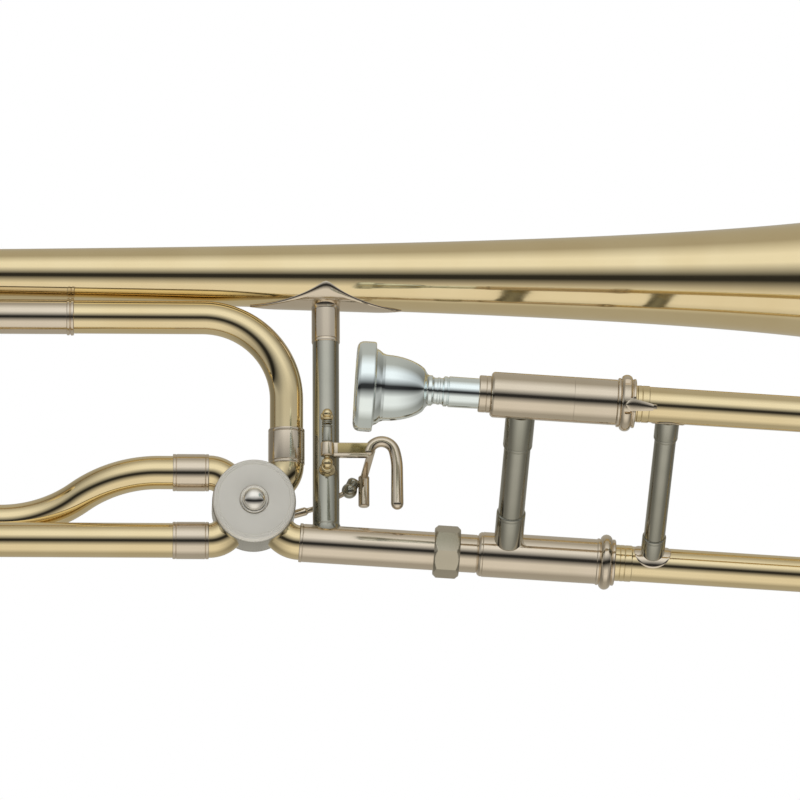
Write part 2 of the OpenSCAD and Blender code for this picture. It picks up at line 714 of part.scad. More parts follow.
// Water key: nipple with its drain hole, saddle with two ears and the hinge pin
module water_key_saddle() color(nickel) on_slide() {
    ferrule_r = outer_tube_d / 2 + 0.7;
    difference() {
        union() {
            translate([key_nipple_u, 0, 0]) post([-10.2, -6], 6.4);
            translate([key_pivot_u - 4, -4.6, -9]) cube([8, 9.2, 5]);
            for (y = [-4.6, 3.2]) translate([key_pivot_u - 2.2, y, -14.4]) cube([4.4, 1.4, 8]);
            translate([key_pivot_u, 0, key_pivot_z]) rod_y([-5.2, 5.2], 1.6);
        }
        rod_x([key_pivot_u - 8, crook_u - 21], outer_tube_d);
        rod_x([crook_u - 21, crook_u], 2 * ferrule_r);
        translate([key_nipple_u, 0, 0]) post([-12, 0], 3);
    }
}

module water_key_spring() color(spring_blue) on_slide() translate([key_pivot_u, 0, key_pivot_z]) {
    for (y = [-2.7, 2.7]) translate([0, y, 0]) rotate([90, 0, 0]) rotate_extrude()
        translate([1.35, 0]) circle(d = 0.6, $fn = 24);
}

module water_key_lever() color(nickel) on_slide() translate([key_pivot_u, 0, key_pivot_z]) difference() {
    reach = key_nipple_u - key_pivot_u;
    cup_top = -12.6 - key_pivot_z;
    union() {
        rod_y([-2.2, 2.2], 4);
        translate([0, -1.5, -1.9]) cube([reach - 3, 3, 1.8]);
        translate([reach, 0, 0]) post([cup_top - 2, cup_top], 8);
        rotate([0, -10, 0]) translate([-22, -1.5, -1.9]) cube([22, 3, 1.8]);
        rotate([0, -10, 0]) translate([-23, 0, -1.9]) post([0, 1.8], 9);
    }
    rod_y([-6, 6], 1.6 + 2 * run);
}

module water_key_cork() color(cork_tan) on_slide() {
    translate([key_nipple_u, 0, 0]) post([-12.6, -10.25], 6.8);
}

// ---------- tuning slides ----------

module tuning_legs() color(nickel) {
    legs_x = [bow_x, bell_tail_x - 8];
    on_bell() pipe(legs_x, upper_leg_d, upper_leg_d - 2 * leg_wall);
    on_leg([0, port_line_z]) pipe(legs_x, lower_leg_d, lower_leg_d - 2 * leg_wall);
}

// Point on the bow's wall: t runs 0 to 1 from the upper leg to the lower, side picks the place on the ring
function bow_point(t, side, wall) =
    let (
        r = (upper_leg_d + (lower_leg_d - upper_leg_d) * t) / 2 - wall,
        a = 90 + 180 * t,
        s = 360 * side / bow_sides,
        reach = main_bow_r + r * cos(s)
    ) [bow_x + reach * cos(a), r * sin(s), port_line_z + main_bow_r + reach * sin(a)];
function ring_id(shell, step, side) = (shell * (bow_steps + 1) + step) * bow_sides + side % bow_sides;

// Tapered bow: an outer and an inner skin joined at both ends
module tuning_bow() color(brass) polyhedron(
    points = [
        for (wall = [0, leg_wall]) for (i = [0 : bow_steps]) for (j = [0 : bow_sides - 1])
            bow_point(i / bow_steps, j, wall)
    ],
    faces = [
        for (i = [0 : bow_steps - 1]) for (j = [0 : bow_sides - 1])
            [ring_id(0, i, j), ring_id(0, i, j + 1), ring_id(0, i + 1, j + 1), ring_id(0, i + 1, j)],
        for (i = [0 : bow_steps - 1]) for (j = [0 : bow_sides - 1])
            [ring_id(1, i, j), ring_id(1, i + 1, j), ring_id(1, i + 1, j + 1), ring_id(1, i, j + 1)],
        for (j = [0 : bow_sides - 1])
            [ring_id(0, 0, j), ring_id(1, 0, j), ring_id(1, 0, j + 1), ring_id(0, 0, j + 1)],
        for (j = [0 : bow_sides - 1]) [
            ring_id(0, bow_steps, j), ring_id(0, bow_steps, j + 1), ring_id(1, bow_steps, j + 1),
            ring_id(1, bow_steps, j)
        ]
    ]
);

// Ferrules of the bow and its brace, set to one side so that it clears the F tuning bow
module tuning_bow_ferrules() color(nickel) {
    joint_x = [bow_x, sleeve_end_x - 0.3];
    stay_x = -268;
    stay_y = 5.5;
    stay_z = main_bow_r * sin(acos((bow_x - stay_x) / main_bow_r));
    centre_z = port_line_z + main_bow_r;
    on_bell() ferrule(joint_x, upper_leg_d + 1.8, upper_leg_d);
    on_leg([0, port_line_z]) ferrule(joint_x, lower_leg_d + 1.8, lower_leg_d);
    difference() {
        translate([stay_x, stay_y, centre_z]) post([-stay_z, stay_z], 5);
        translate([bow_x, 0, centre_z]) bent_rod(main_bow_r, 20.7, 90, 80);
        translate([bow_x, 0, centre_z]) bent_rod(main_bow_r, 16.4, 190, 80);
    }
}

module f_tuning_legs() color(nickel) {
    on_leg(leg_a) pipe([f_bow_x, -178], f_leg_d, f_leg_d - 1);
    on_leg(leg_b) pipe([f_bow_x, -178], f_leg_d, f_leg_d - 1);
}

module f_tuning_bow() color(brass) on_f_bow() translate([f_bow_x, 0, 0]) {
    bend(f_bow_r, f_tube_d, f_bore, 90, 180);
}

// Ferrules of the F tuning slide and the stay between them
module f_tuning_ferrules() color(nickel) on_f_bow() {
    joint_x = [f_bow_x, b_sleeve_x[0] - 0.3];
    joint_d = f_sleeve_d + 0.9;
    for (z = [-f_bow_r, f_bow_r]) translate([0, 0, z]) ferrule(joint_x, joint_d, f_leg_d);
    translate([f_bow_x + 8, 0, 0]) difference() {
        post([-f_bow_r, f_bow_r], 4.5);
        for (z = [-f_bow_r, f_bow_r]) translate([0, 0, z]) rod_x([-5, 5], joint_d);
    }
}

// ---------- rotor and linkage ----------

// Rotor with two crossing-free passages; at rest the lower one joins the neckpipe to the main tube
module rotor() color(brass) on_rotor() {
    bore_r = rotor_d / 2;
    stem_y = [-13.6, crank_y[1]];
    difference() {
        rod_y([casing_y[0] + 0.5, plate_y[0] - 0.4], rotor_d);
        for (side = [-1, 1]) translate([0, 0, side * bore_r * sqrt(2)]) bent_rod(bore_r, 13.2, 0, 360);
    }
    difference() {
        rod_y(stem_y, 2 * stem_r);
        rod_y([casing_y[0] + 1, plate_y[0] - 1], 2 * stem_r + 1);
    }
}

// Crank that the link turns, with the stop lug on its other side
module stop_arm() color(nickel) on_rotor() {
    width = 2 * stop_half_width;
    depth = crank_y[1] - crank_y[0];
    difference() {
        rotate([0, -crank_angle, 0]) {
            rod_y(crank_y, 9);
            translate([0, crank_y[0], -width / 2]) cube([crank_r, depth, width]);
            translate([crank_r, 0, 0]) rod_y(crank_y, 5.4);
            translate([-stop_r - 1.5, crank_y[0], -width / 2]) cube([stop_r, depth, width]);
        }
        rod_y([crank_y[0] - 1, crank_y[1] + 1], 2 * stem_r);
    }
    rotate([0, -crank_angle, 0]) translate([crank_r, 0, 0]) rod_y([crank_y[1] - 0.1, 17.9], 3);
    rod_y([crank_y[1], crank_y[1] + 1.4], 4.6);
}

// Link from the crank pin to the lever; its far end is a ball socket beside the lever's foot
module link_rod() color(nickel) {
    pin_rise = (port_rise + crank_r * sin(crank_angle)) * cos(valve_roll) + link_end[1] * sin(valve_roll);
    pin = [valve_x + crank_r * cos(crank_angle), port_line_z + pin_rise];
    rise = link_end[2] - pin[1];
    run_x = link_end[0] - pin[0];
    length = norm([run_x, rise]);
    lean = atan2(rise, run_x);
    eye_y = [crank_y[1] + 0.3, 17.4];
    difference() {
        translate([pin[0], link_end[1], pin[1]]) rotate([0, -lean, 0]) {
            rod_y([eye_y[0] - link_end[1], eye_y[1] - link_end[1]], 6.6);
            rod_x([2.5, 17], 3.6);
            rod_x([17, length], link_d);
        }
        on_rotor() rotate([0, -crank_angle, 0]) translate([crank_r, 0, 0]) rod_y([0, 30], 3 + 2 * run);
    }
    translate(link_end) sphere(d = 5.6);
    translate(link_end) rotate([0, 20, 0]) post([0, 5.6], 3.4);
}

// ---------- trigger lever ----------

module lever_arm() color(nickel) {
    bar_y = hinge_y + 1;
    difference() {
        union() {
            translate([hinge_x, hinge_y, 0]) post([44, lever_top_z], 5);
            translate([hinge_x, hinge_y, 0]) post([plate_z[0], 44], 6.2);
            translate([hinge_x, bar_y, 39.3]) cube([arm_end_x - hinge_x, 2.4, 5.2]);
            translate([hinge_x, bar_y - 1.2, plate_z[0]])
                cube([arm_end_x - hinge_x, 3.6, plate_z[1] - plate_z[0]]);
        }
        translate([hinge_x, hinge_y, 0]) post([30, 60], 2.2 + 2 * run);
    }
    lever_rear_arm();
}

// Rod from the bar's end back and down to the foot that carries the linkage
module lever_rear_arm() {
    start = [arm_end_x - 1.5, hook_y, 40.6];
    end = [rear_end[0], rear_end[1], rear_end_z[1] - 2];
    way = end - start;
    length = norm(way);
    translate(start) rotate([0, acos(way[2] / length), atan2(way[1], way[0])]) cylinder(d = 2.8, h = length);
    translate([rear_end[0], rear_end[1], 0]) post(rear_end_z, 5);
}

// Thumb hook: a round rod bent over the thumb, soldered to the end of the lever's bar
module thumb_hook() color(nickel) {
    top_z = 38.6;
    centre_x = 25.4;
    bend_r = 5.9;
    foot_turn = 12;
    thin_d = 4.6;
    translate([centre_x, hook_y, top_z]) difference() {
        union() {
            bent_rod(bend_r, hook_rod_d - 0.6, 0, 180 - foot_turn);
            rotate([0, foot_turn, 0]) translate([-bend_r, 0, 0]) post([-3, 0.01], thin_d);
            translate([bend_r, 0, 0]) post([-21.8, 0.01], hook_rod_d);
            translate([bend_r, 0, -21.8]) sphere(d = hook_rod_d);
        }
        translate([arm_end_x - centre_x - 12, -8, -20]) cube([12, 16, 40]);
    }
}

// ---------- mouthpiece ----------

// Points along the axis are measured from the face of the rim
module mouthpiece() color(silver) on_upper() translate([rim_u, 0, 0]) {
    rim_r = rim_d / 2;
    cup_r = cup_d / 2;
    lathe([
        [cup_r, 1.4], [cup_r + 1.6, 0.3], [rim_r - 3, 0], [rim_r - 1, 0.6], [rim_r - 0.2, 1.9],
        [rim_r, 3.5], [rim_r, 7.7], [rim_r - 0.6, 8.4], [16.6, 8.8], [16.2, 10], [14.85, 11.8],
        [14.45, 13.6], [13.9, 16.2], [13.65, 18.9], [12.85, 22.4], [12.4, 24.2], [11.65, 25.9], [10.7, 27.7],
        [9.25, 29.5], [7.4, 31.2], [6.7, 32.1], [6.7, 33.7], [5.75, 34.3], [5.75, 38.7], [6.6, 39.5],
        [6.75, 40.9], [6.65, 55.8], [6.3, 82.3], [5.6, 82.3], [3.5, 34.5], [3.4, 28.5],
        [5.5, 24.5], [9.5, 18.5], [11.8, 11.5], [12.8, 4.5]
    ]);
}

bell_stem();
bell_flare();
bell_brace_flange();
bell_brace_socket();
bell_brace_tube();
neckpipe();
valve_casing();
valve_cap();
valve_knuckles();
rear_bearing_plate();
stop_corks();
tube_ferrules();
main_tube();
upper_tuning_sleeve();
lower_tuning_sleeve();
f_elbow_tube();
f_sleeves();
f_return_tube();
f_rear_bend();
f_entry_tube();
wrap_braces();
lever_hinge_posts();
lever_spring();
receiver_nut();
slide_tenon();
lower_barrel();
upper_barrel();
leadpipe();
upper_inner_tube();
lower_inner_tube();
inner_brace_tube();
inner_brace_sockets();
slide_corks();
slide_lock_ring();
upper_outer_tube();
lower_outer_tube();
outer_end_ferrules();
lock_hook();
outer_brace_tube();
outer_brace_sockets();
slide_crook();
crook_ferrules();
slide_bumper();
water_key_saddle();
water_key_spring();
water_key_lever();
water_key_cork();
tuning_legs();
tuning_bow();
tuning_bow_ferrules();
f_tuning_legs();
f_tuning_bow();
f_tuning_ferrules();
rotor();
stop_arm();
link_rod();
lever_arm();
thumb_hook();
mouthpiece();
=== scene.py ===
"""Looks of the trombone: smooth turned and bent pieces with procedural metal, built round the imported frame.

Lengths are in millimetres until a mesh is made. Local frames run along a tube: X along it, Z as named.
"""

import json
import math
from math import cos, pi, radians, sin, sqrt

import bmesh
import bpy
from mathutils import Matrix, Vector


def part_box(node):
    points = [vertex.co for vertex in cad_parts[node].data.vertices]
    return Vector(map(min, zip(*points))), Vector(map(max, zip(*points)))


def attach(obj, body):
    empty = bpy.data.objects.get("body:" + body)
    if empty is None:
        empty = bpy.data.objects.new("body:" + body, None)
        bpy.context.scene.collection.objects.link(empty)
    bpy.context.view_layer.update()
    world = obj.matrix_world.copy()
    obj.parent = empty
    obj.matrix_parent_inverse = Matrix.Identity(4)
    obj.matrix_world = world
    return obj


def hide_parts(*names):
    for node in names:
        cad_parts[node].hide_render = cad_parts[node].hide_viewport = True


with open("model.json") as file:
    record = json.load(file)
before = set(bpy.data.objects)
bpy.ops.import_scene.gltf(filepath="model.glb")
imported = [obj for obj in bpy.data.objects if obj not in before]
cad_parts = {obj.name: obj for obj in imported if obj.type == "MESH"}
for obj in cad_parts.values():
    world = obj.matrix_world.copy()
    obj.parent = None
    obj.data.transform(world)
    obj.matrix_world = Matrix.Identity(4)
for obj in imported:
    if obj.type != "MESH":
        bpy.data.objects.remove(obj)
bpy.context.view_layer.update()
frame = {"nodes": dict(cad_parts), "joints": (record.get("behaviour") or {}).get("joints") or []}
MM = 0.001
JOINTS = {j["name"]: j for j in frame["joints"]}


# ---------- places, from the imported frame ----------

def span(node, axis):
    """Lowest and highest value of a CAD node along a row axis, in millimetres."""
    low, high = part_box(node)
    return low[axis] / MM, high[axis] / MM


def mid(node, axis):
    return sum(span(node, axis)) / 2


def move(x=0.0, y=0.0, z=0.0):
    return Matrix.Translation((x, y, z))


ROW = move()


def turn(degrees, axis):
    return Matrix.Rotation(radians(degrees), 4, axis)


def basis(origin, x, z):
    """Frame with its X and Z along two perpendicular directions."""
    x, z = Vector(x).normalized(), Vector(z).normalized()
    y = z.cross(x)
    m = Matrix((x, y, z)).transposed().to_4x4()
    m.translation = Vector(origin)
    return m


def joint_point(name):
    return Vector(JOINTS[name]["pos_m"]) / MM


slide_axis = Vector(JOINTS["hand_slide"]["axis"])
upper_point = joint_point("slide_lock_turn")
across = upper_point - slide_axis * upper_point.dot(slide_axis)
TUBE_GAP = across.length
SLIDE = basis((0, 0, 0), slide_axis, across)
UPPER = SLIDE @ move(z=TUBE_GAP)
NECK = basis((0, 0, 0), slide_axis, slide_axis.cross(Vector((0, 1, 0))))
rotor_axis = Vector(JOINTS["rotor_turn"]["axis"])
ROTOR = basis(joint_point("rotor_turn"), (1, 0, 0), Vector((1, 0, 0)).cross(rotor_axis))
BELL_Z = mid("bell_stem", 2)
BELL = move(z=BELL_Z)
MAIN_Z = mid("main_tube", 2)
MAIN = move(z=MAIN_Z)

# Driving sizes
SIDES = 72
WALL = 0.6
BELL_X = (span("bell_stem", 0)[0], span("bell_flare", 0)[1])
MOUTH_R = (span("bell_flare", 2)[1] - span("bell_flare", 2)[0]) / 2
POLE_GAP = 23.2
BELL_POWER = 0.71
RIM_R = 1.6
PORT_RISE = 15.4
ROLL = math.degrees(math.asin(rotor_axis.z))
VALVE = move(z=MAIN_Z) @ turn(ROLL, "X")
F_TUBE_R = 7.45
F_BORE_R = 6.95
PORT_X = span("valve_knuckles", 0)[0]
ELBOW_X = span("f_elbow_tube", 0)[1] - F_TUBE_R
ELBOW_START = 34.5
NECK_R = 8.5
SLIDE_DROP = math.degrees(math.atan2(-slide_axis.z, slide_axis.x))
OUTER_R = 7.8
INNER_R = 7.2
CROOK_U = 778
LOCK_ANGLE = 55
RIM_U = 7.45
NUT_U = (47.9, 59.4)
LOWER_BARREL_U = (67.3, 128.6)
UPPER_BARREL_U = (66.8, 129.4)
RING_U = (122.0, 130.0)
RING_GROOVE_U = (124.8, 127.4)
OUTER_START_U = 119.5
END_FERRULE_U = 136.1


# ---------- materials ----------

def new_material(name):
    material = bpy.data.materials.new(name)
    material.use_nodes = True
    nodes = material.node_tree.nodes
    return material, nodes, material.node_tree.links, nodes["Principled BSDF"]


def set_inputs(node, values):
    for name, value in values.items():
        node.inputs[name].default_value = value


def noise_on(nodes, links, scale, detail, stretch=(1, 1, 1)):
    """Noise in the object's own coordinates, stretched along the row axes."""
    coords = nodes.new("ShaderNodeTexCoord")
    mapping = nodes.new("ShaderNodeMapping")
    mapping.inputs["Scale"].default_value = stretch
    noise = nodes.new("ShaderNodeTexNoise")
    set_inputs(noise, {"Scale": scale, "Detail": detail})
    links.new(coords.outputs["Object"], mapping.inputs["Vector"])
    links.new(mapping.outputs["Vector"], noise.inputs["Vector"])
    return noise.outputs["Fac"]


def between(nodes, links, value, low, high):
    """Maps a noise value to the range from low to high."""
    mapped = nodes.new("ShaderNodeMapRange")
    set_inputs(mapped, {"From Min": 0.3, "From Max": 0.7, "To Min": low, "To Max": high})
    links.new(value, mapped.inputs["Value"])
    return mapped.outputs["Result"]


def ramp(nodes, links, value, stops):
    colours = nodes.new("ShaderNodeValToRGB")
    while len(colours.color_ramp.elements) < len(stops):
        colours.color_ramp.elements.new(0.5)
    for element, (place, colour) in zip(colours.color_ramp.elements, stops):
        element.position = place
        element.color = (*colour, 1)
    links.new(value, colours.inputs["Fac"])
    return colours.outputs["Color"]


def bump_from(nodes, links, value, distance, strength):
    bump = nodes.new("ShaderNodeBump")
    set_inputs(bump, {"Distance": distance, "Strength": strength})
    links.new(value, bump.inputs["Height"])
    return bump.outputs["Normal"]


def dress(nodes, links, shader, tint, gloss, rough, relief, depth, strength):
    """Colour, gloss between two roughnesses, and relief of a material."""
    links.new(tint, shader.inputs["Base Color"])
    links.new(between(nodes, links, gloss, *rough), shader.inputs["Roughness"])
    links.new(bump_from(nodes, links, relief, depth, strength), shader.inputs["Normal"])


def metal(name, dark, light, rough, grain=(1, 1, 1), coat=0.0, scratch=0.05):
    """Polished metal: faint clouding in colour and gloss, and hairline polishing marks along the grain."""
    material, nodes, links, shader = new_material(name)
    cloud = noise_on(nodes, links, 38, 3)
    haze = noise_on(nodes, links, 160, 4, grain)
    hairline = noise_on(nodes, links, 2600, 2, grain)
    tint = ramp(nodes, links, cloud, [(0.3, dark), (0.7, light)])
    dress(nodes, links, shader, tint, haze, rough, hairline, 0.00002, scratch)
    set_inputs(shader, {"Metallic": 1.0, "Coat Weight": coat, "Coat Roughness": 0.04})
    return material


def turned_metal(name, dark, light, rough, metallic, axis_frame, pitch):
    """Satin metal faced on a lathe: fine rings about an axis."""
    material, nodes, links, shader = new_material(name)
    coords = nodes.new("ShaderNodeTexCoord")
    mapping = nodes.new("ShaderNodeMapping")
    mapping.vector_type = "TEXTURE"
    set_inputs(mapping, {"Location": axis_frame.translation * MM, "Rotation": axis_frame.to_euler()})
    rings = nodes.new("ShaderNodeTexWave")
    rings.wave_type = "RINGS"
    rings.rings_direction = "Y"
    set_inputs(rings, {"Scale": pitch, "Distortion": 1.5, "Detail": 2})
    cloud = noise_on(nodes, links, 60, 3)
    links.new(coords.outputs["Object"], mapping.inputs["Vector"])
    links.new(mapping.outputs["Vector"], rings.inputs["Vector"])
    tint = ramp(nodes, links, cloud, [(0.3, dark), (0.7, light)])
    dress(nodes, links, shader, tint, cloud, rough, rings.outputs["Fac"], 0.00002, 0.25)
    shader.inputs["Metallic"].default_value = metallic
    return material


def soft_material(name, stops, scale, rough, relief):
    """Cork, rubber and other dull stuff: speckled colour with a grainy surface."""
    material, nodes, links, shader = new_material(name)
    grain = noise_on(nodes, links, scale, 6)
    dress(nodes, links, shader, ramp(nodes, links, grain, stops), grain, rough, grain, relief, 0.6)
    return material


ALONG = (0.05, 1, 1)
BRASS = metal("lacquered_brass", (0.83, 0.68, 0.40), (0.87, 0.73, 0.45), (0.05, 0.11), ALONG, coat=0.25)
NICKEL = metal("nickel_silver", (0.72, 0.63, 0.50), (0.765, 0.67, 0.545), (0.07, 0.14), ALONG, coat=0.15)
DULL = metal("dull_nickel", (0.42, 0.42, 0.36), (0.48, 0.47, 0.41), (0.12, 0.2), ALONG)
SILVER = metal("silver_plate", (0.89, 0.98, 1.0), (0.92, 1.0, 1.0), (0.05, 0.10), ALONG)
CHROME = metal("chrome_plate", (0.58, 0.60, 0.61), (0.64, 0.66, 0.67), (0.03, 0.07), ALONG)
STEEL = metal("spring_steel", (0.20, 0.22, 0.26), (0.32, 0.34, 0.38), (0.2, 0.32))
ROUND = (1, 0.05, 1)
CASING = metal("casing_nickel", (0.50, 0.49, 0.45), (0.58, 0.57, 0.53), (0.22, 0.30), ROUND, scratch=0.15)
CAP = turned_metal("satin_nickel", (0.90, 0.87, 0.80), (0.96, 0.93, 0.86), (0.46, 0.54), 0.35, ROTOR, 900)
DOME = metal("dome_nickel", (0.86, 0.83, 0.77), (0.92, 0.89, 0.83), (0.05, 0.1))
NUT_METAL = metal("nut_nickel", (0.50, 0.46, 0.36), (0.56, 0.51, 0.41), (0.16, 0.24), ALONG)
DARK_BRASS = metal("dark_brass", (0.40, 0.32, 0.15), (0.47, 0.38, 0.19), (0.1, 0.18))
CORK_TINTS = [(0.32, (0.20, 0.11, 0.05)), (0.45, (0.50, 0.33, 0.18)), (0.7, (0.66, 0.48, 0.29))]
CORK = soft_material("cork", CORK_TINTS, 900, (0.75, 0.9), 0.0002)
RUBBER = soft_material("black_rubber", [(0.3, (0.012, 0.012, 0.012)), (0.7, (0.03, 0.03, 0.03))],
                       1500, (0.45, 0.6), 0.00005)


# ---------- meshes ----------

class Shape:
    """Points in millimetres in the row frame, and the faces between them."""

    def __init__(self):
        self.points = []
        self.faces = []

    def add(self, place, points, faces):
        start = len(self.points)
        self.points += [place @ Vector(p) for p in points]
        self.faces += [[start + i for i in face] for face in faces]
        return self


def soften(outline, radius=0.25, steps=3):
    """Rounds the corners of a closed outline of (x, radius) points, other than those on the axis."""
    rounded = []
    count = len(outline)
    for i, point in enumerate(outline):
        here = Vector(point)
        to_last = Vector(outline[i - 1]) - here
        to_next = Vector(outline[(i + 1) % count]) - here
        bend = to_last.angle(-to_next, 0) if to_last.length and to_next.length else 0
        cut = min(radius, 0.4 * to_last.length, 0.4 * to_next.length)
        if point[1] < 1e-6 or bend < radians(15) or cut < 0.01:
            rounded.append(tuple(here))
            continue
        first = here + to_last.normalized() * cut
        last = here + to_next.normalized() * cut
        for k in range(steps + 1):
            t = k / steps
            rounded.append(tuple(first * (1 - t) ** 2 + here * 2 * t * (1 - t) + last * t * t))
    return rounded


def grid_faces(rows, columns, wrap_rows, wrap_columns):
    faces = []
    for i in range(rows if wrap_rows else rows - 1):
        for j in range(columns if wrap_columns else columns - 1):
            a, b = i * columns, (i + 1) % rows * columns
            k = (j + 1) % columns
            faces.append([a + j, a + k, b + k, b + j])
    return faces


def sheet(shape, place, points, rows, columns):
    """Thin sheet: two layers of rows by columns, closed round the rim."""
    count = rows * columns
    faces = grid_faces(rows, columns, False, False)
    faces += [[i + count for i in face][::-1] for face in faces[:]]
    rim = list(range(columns)) + [i * columns + columns - 1 for i in range(1, rows)]
    rim += [(rows - 1) * columns + j for j in range(columns - 2, -1, -1)]
    rim += [i * columns for i in range(rows - 2, 0, -1)]
    faces += [[a, b, b + count, a + count] for a, b in zip(rim, rim[1:] + rim[:1])]
    return shape.add(place, points, faces)


def circle(x, radius, sides):
    """Points of a circle about the local X axis."""
    angles = [2 * pi * j / sides for j in range(sides)]
    return [(x, radius * cos(a), radius * sin(a)) for a in angles]


def lathe(shape, place, outline, sides=SIDES, radius=0.25, closed=True):
    """Revolves a closed outline of (x, radius) points about the local X axis."""
    outline = soften(outline, radius) if radius else list(outline)
    points, rings = [], []
    for x, r in outline:
        count = 1 if r < 1e-6 else sides
        rings.append(range(len(points), len(points) + count))
        points += circle(x, r, sides)[:count]
    faces = []
    for i in range(len(rings) if closed else len(rings) - 1):
        one, two = rings[i], rings[(i + 1) % len(rings)]
        if len(one) == 1 and len(two) == 1:
            continue
        for j in range(sides):
            k = (j + 1) % sides
            a, b = one[j % len(one)], one[k % len(one)]
            c, d = two[k % len(two)], two[j % len(two)]
            faces.append(list(dict.fromkeys((a, b, c, d))))
    return shape.add(place, points, faces)


def lathes(places, outline, *options):
    """The same turned piece at several places."""
    shape = Shape()
    for place in places:
        lathe(shape, place, outline, *options)
    return shape


def pipe_outline(start, end, outer, bore):
    return [(start, outer), (end, outer), (end, bore), (start, bore)]


def near(x, r, *steps):
    """Outline points given as steps from one corner."""
    return [(x + dx, r + dr) for dx, dr in steps]


def arc(x, r, along, up, start, step, count):
    """Outline points on an ellipse, at angles in degrees up from the X axis."""
    angles = [radians(start + step * i) for i in range(count)]
    return [(x + along * cos(a), r + up * sin(a)) for a in angles]


def stay_outline(low, high, toe_r, foot, neck):
    """Solid stay with a flared foot at each end; foot and neck are (distance in, radius) pairs."""
    steps = [(0, toe_r), foot, neck]
    low_end = [(low + inward, r) for inward, r in steps]
    high_end = [(high - inward, r) for inward, r in steps[::-1]]
    return [(low, 0.0)] + low_end + high_end + [(high, 0.0)]


def socket_outline(low, high, radius, bore, groove, lip):
    """Collar of a brace, open towards low, with a fine groove and a chamfer at its high end."""
    out = 1 if high > low else -1
    cut = [(groove + 0.2, radius), (groove, radius - 0.15), (groove - 0.2, radius)]
    edge = [(0.4, radius), (0, lip)]
    return [(low, radius)] + [(high - back * out, r) for back, r in cut + edge] + [(high, bore), (low, bore)]


def ferrule_outline(start, end, outer, bore, groove=0.25, inset=1.5):
    """Sleeve with a fine turned groove near each end."""
    half = 0.22
    points = [(start, outer - 0.15)]
    points.append((start + 0.3, outer))
    for centre in (start + inset, end - inset):
        points += [(centre - half, outer), (centre, outer - groove), (centre + half, outer)]
    return points + [(end - 0.3, outer), (end, outer - 0.15), (end, bore), (start, bore)]


class Route:
    """A path that starts along local X and is extended by straight runs and bends."""

    def __init__(self, place):
        self.stations = [place.copy()]

    def straight(self, length):
        self.stations.append(self.stations[-1] @ move(x=length))
        return self

    def bend(self, radius, degrees, towards=0, steps=None):
        """Bends towards local +Z turned by an angle about the path: 90 bends towards -Y."""
        start = self.stations[-1] @ turn(towards, "X")
        steps = steps or max(4, int(degrees / 4))
        for i in range(1, steps + 1):
            angle = degrees * i / steps
            place = start @ move(z=radius) @ turn(-angle, "Y") @ move(z=-radius) @ turn(-towards, "X")
            self.stations.append(place)
        return self

    def lengths(self):
        total, out = 0.0, [0.0]
        for a, b in zip(self.stations, self.stations[1:]):
            total += (b.translation - a.translation).length
            out.append(total)
        return [v / total for v in out]


def tube(shape, route, outer, bore=0.0, sides=48, taper=None):
    """Sweeps a tube along a route; with no bore it is a solid rod with flat ends."""
    end = taper if taper is not None else outer
    radii = [outer + (end - outer) * t for t in route.lengths()]

    def rings(cut):
        return [(m, r - cut) for m, r in zip(route.stations, radii)]

    layers = rings(0)
    if bore:
        layers += rings(outer - bore)[::-1]
    points = []
    for place, r in layers:
        points += [place @ Vector(point) for point in circle(0, r, sides)]
    faces = grid_faces(len(layers), sides, bool(bore), True)
    if not bore:
        faces += [list(range(sides))[::-1], list(range((len(layers) - 1) * sides, len(layers) * sides))]
    return shape.add(ROW, points, faces)


def ball(shape, place, radius, sides=32):
    arc = [(radius * cos(pi * i / 16), radius * sin(pi * i / 16)) for i in range(17)]
    arc[0], arc[-1] = (radius, 0.0), (-radius, 0.0)
    return lathe(shape, place, arc[::-1], sides, 0, closed=False)


def block(shape, place, low, high, edge=0.3):
    """Box with bevelled edges: each corner is cut to three points."""
    bm = bmesh.new()
    bmesh.ops.create_cube(bm, size=1)
    size = Vector(high) - Vector(low)
    centre = (Vector(high) + Vector(low)) / 2
    bmesh.ops.scale(bm, vec=size, verts=bm.verts)
    bmesh.ops.bevel(bm, geom=bm.edges, offset=edge, segments=3, profile=0.6, affect="EDGES")
    bmesh.ops.translate(bm, vec=centre, verts=bm.verts)
    bm.verts.index_update()
    shape.add(place, [v.co.copy() for v in bm.verts], [[v.index for v in f.verts] for f in bm.faces])
    bm.free()
    return shape


def piece(name, shape, material, body, *nodes, sharp=35):
    """Makes the mesh, gives it its material, ties it to its CAD body and hides the CAD nodes it stands for.
    """
    mesh = bpy.data.meshes.new(name)
    mesh.from_pydata([tuple(p * MM) for p in shape.points], [], shape.faces)
    mesh.update()
    bm = bmesh.new()
    bm.from_mesh(mesh)
    bmesh.ops.recalc_face_normals(bm, faces=bm.faces)
    bm.to_mesh(mesh)
    bm.free()
    mesh.polygons.foreach_set("use_smooth", [True] * len(mesh.polygons))
    mesh.set_sharp_from_angle(angle=radians(sharp))
    mesh.materials.append(material)
    obj = bpy.data.objects.new(name, mesh)
    bpy.context.collection.objects.link(obj)
    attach(obj, body)
    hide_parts(*nodes)
    return obj


def turned(name, place, outline, material, body, *nodes, **options):
    return piece(name, lathe(Shape(), place, outline, **options), material, body, *nodes)


def part(name, shape, material, body, **options):
    """A piece that stands for the CAD node of the same name."""
    return piece(name, shape, material, body, name, **options)


def turned_part(name, place, outline, material, body, **options):
    return turned(name, place, outline, material, body, name, **options)


# ---------- bell ----------

def bell_radius(x):
    pole = BELL_X[1] + POLE_GAP
    return MOUTH_R * (POLE_GAP / (pole - x)) ** BELL_POWER


